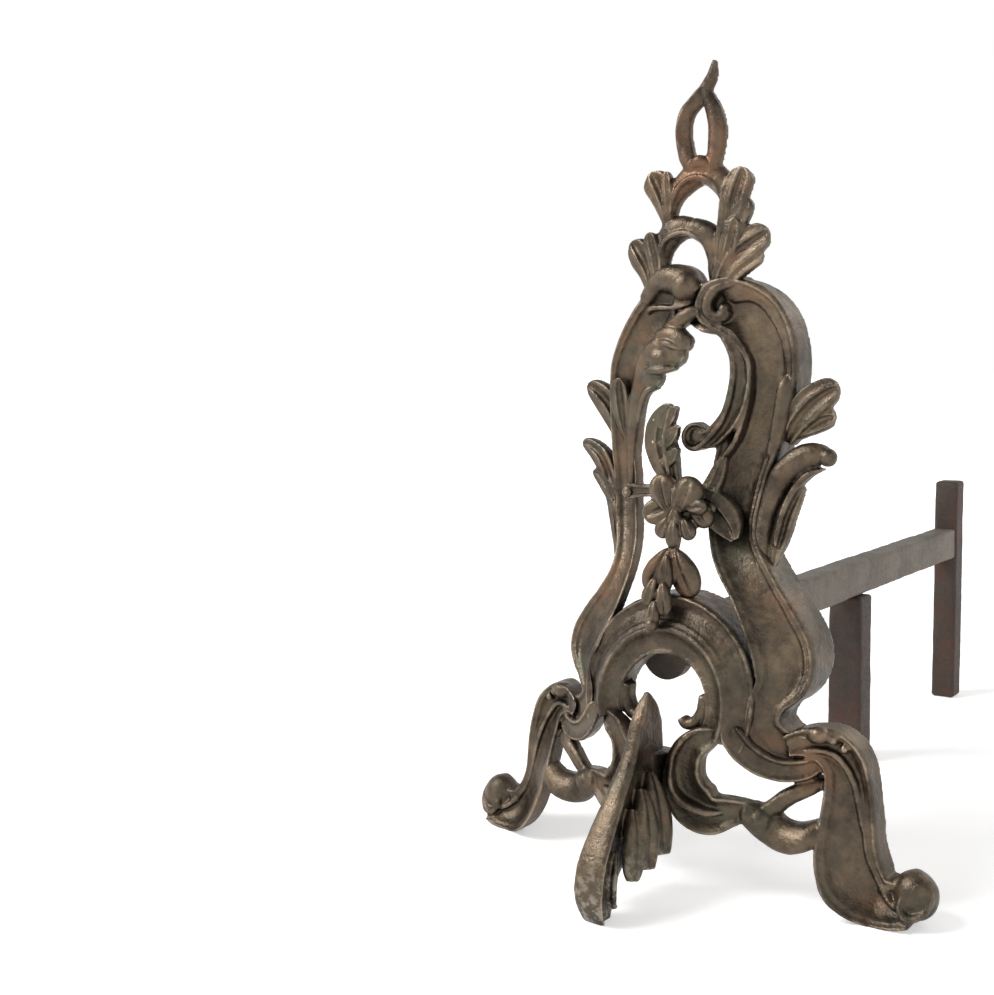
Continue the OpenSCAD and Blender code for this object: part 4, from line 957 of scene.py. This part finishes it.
for piece in frontPieces:
    dress(piece, bronzeFinish, "bronze", "front_casting")
dress(consolePiece, toeFinish, "bronze", "console_foot")
dress(sprayPiece, bronzeFinish, "bronze", "flower_spray")
dress(barPiece, ironFinish, "iron", "billet_bar")
dress(postPiece, rustFinish, "rusty_iron", "rear_post")
dress(footPiece, rustFinish, "rusty_iron", "mid_foot")
for nodeName, finish in (("fixing_plate", ironFinish), ("plate_screws", rustFinish),
                         ("console_screw", rustFinish), ("spray_rivets", bronzeFinish)):
    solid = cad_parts[nodeName]
    solid.data.materials.clear()
    solid.data.materials.append(finish)
print("finishes on")


deselectAll()
bpy.ops.mesh.primitive_plane_add(size=40)
floor = bpy.context.object
floor.name = "floor"
floorMaterial, floorTree = newMaterial("pale_floor")
# the paper glows a little, more further off, so that it runs into the white behind without a line
floorPlace = addNode(floorTree, "ShaderNodeTexCoord").outputs["Object"]
floorReach = addNode(floorTree, "ShaderNodeVectorMath", {0: floorPlace}, operation="LENGTH")
floorGlow = addNode(floorTree, "ShaderNodeMapRange", {
    "Value": floorReach.outputs["Value"], "From Min": 0.4, "From Max": 2.0, "To Min": 0.42, "To Max": 1.0})
floorShader = addNode(floorTree, "ShaderNodeBsdfPrincipled", {
    "Base Color": linear("#e6e5e3"), "Roughness": 0.9, "Emission Color": linear("#ffffff"),
    "Emission Strength": floorGlow.outputs["Result"]})
addNode(floorTree, "ShaderNodeOutputMaterial", {"Surface": floorShader.outputs["BSDF"]})
floor.data.materials.append(floorMaterial)

# lamps as name, place, target, size in metres and power in watts
studio = {"sky": 1.0, "overhead": 0.3, "lamps": [
    ("key_light", (-1.0, -1.1, 1.5), (0, -0.1, 0.15), 0.8, 34),
    ("fill_light", (1.4, -0.9, 0.9), (0, 0, 0.15), 1.2, 4),
    ("rim_light", (0.8, 1.5, 1.4), (0, 0, 0.2), 1.0, 8)]}
world = bpy.data.worlds.new("pale_studio")
bpy.context.scene.world = world
world.use_nodes = True
# white round the horizon, dimmer overhead, so that the metal has something dark to mirror
skyTree = world.node_tree
skyPlace = addNode(skyTree, "ShaderNodeTexCoord")
skyParts = addNode(skyTree, "ShaderNodeSeparateXYZ", {"Vector": skyPlace.outputs["Generated"]})
skyFall = addNode(skyTree, "ShaderNodeMapRange", {
    "Value": skyParts.outputs["Z"], "From Min": 0.3, "From Max": 0.75, "To Min": studio["sky"],
    "To Max": studio["overhead"]})
skyTree.links.new(skyFall.outputs["Result"], skyTree.nodes["Background"].inputs["Strength"])
skyTree.nodes["Background"].inputs["Color"].default_value = (1, 1, 1, 1)


def softBox(name, place, target, size, power):
    bpy.ops.object.light_add(type="AREA", location=place)
    lamp = bpy.context.object
    lamp.name = name
    lamp.data.size = size
    lamp.data.energy = power
    lamp.rotation_euler = (Vector(target) - Vector(place)).to_track_quat("-Z", "Y").to_euler()


for lampRow in studio["lamps"]:
    softBox(*lampRow)

# angles in degrees; focal length in pixels of a frame whose long side has 995; sensor in mm
view = {"place": (0.30734, -0.70185, 0.2547), "heading": 38.07, "pitch": 5.96, "roll": -1.04,
        "focal": 1250, "longSide": 995, "sensor": 36}
bpy.ops.object.camera_add()
camera = bpy.context.object
h, p, r = (math.radians(view[k]) for k in ("heading", "pitch", "roll"))
right = Vector((math.cos(h), math.sin(h), 0))
upward = Vector((-math.sin(h) * math.sin(p), math.cos(h) * math.sin(p), math.cos(p)))
forward = Vector((-math.sin(h) * math.cos(p), math.cos(h) * math.cos(p), -math.sin(p)))
axes = Matrix((right * math.cos(r) + upward * math.sin(r), upward * math.cos(r) - right * math.sin(r),
               -forward)).transposed()
camera.matrix_world = Matrix.Translation(view["place"]) @ axes.to_4x4()
camera.data.sensor_width = view["sensor"]
camera.data.lens = view["focal"] / view["longSide"] * view["sensor"]
camera.data.dof.use_dof = False
bpy.context.scene.camera = camera
bpy.context.scene.view_settings.view_transform = "Standard"
print("stage set")
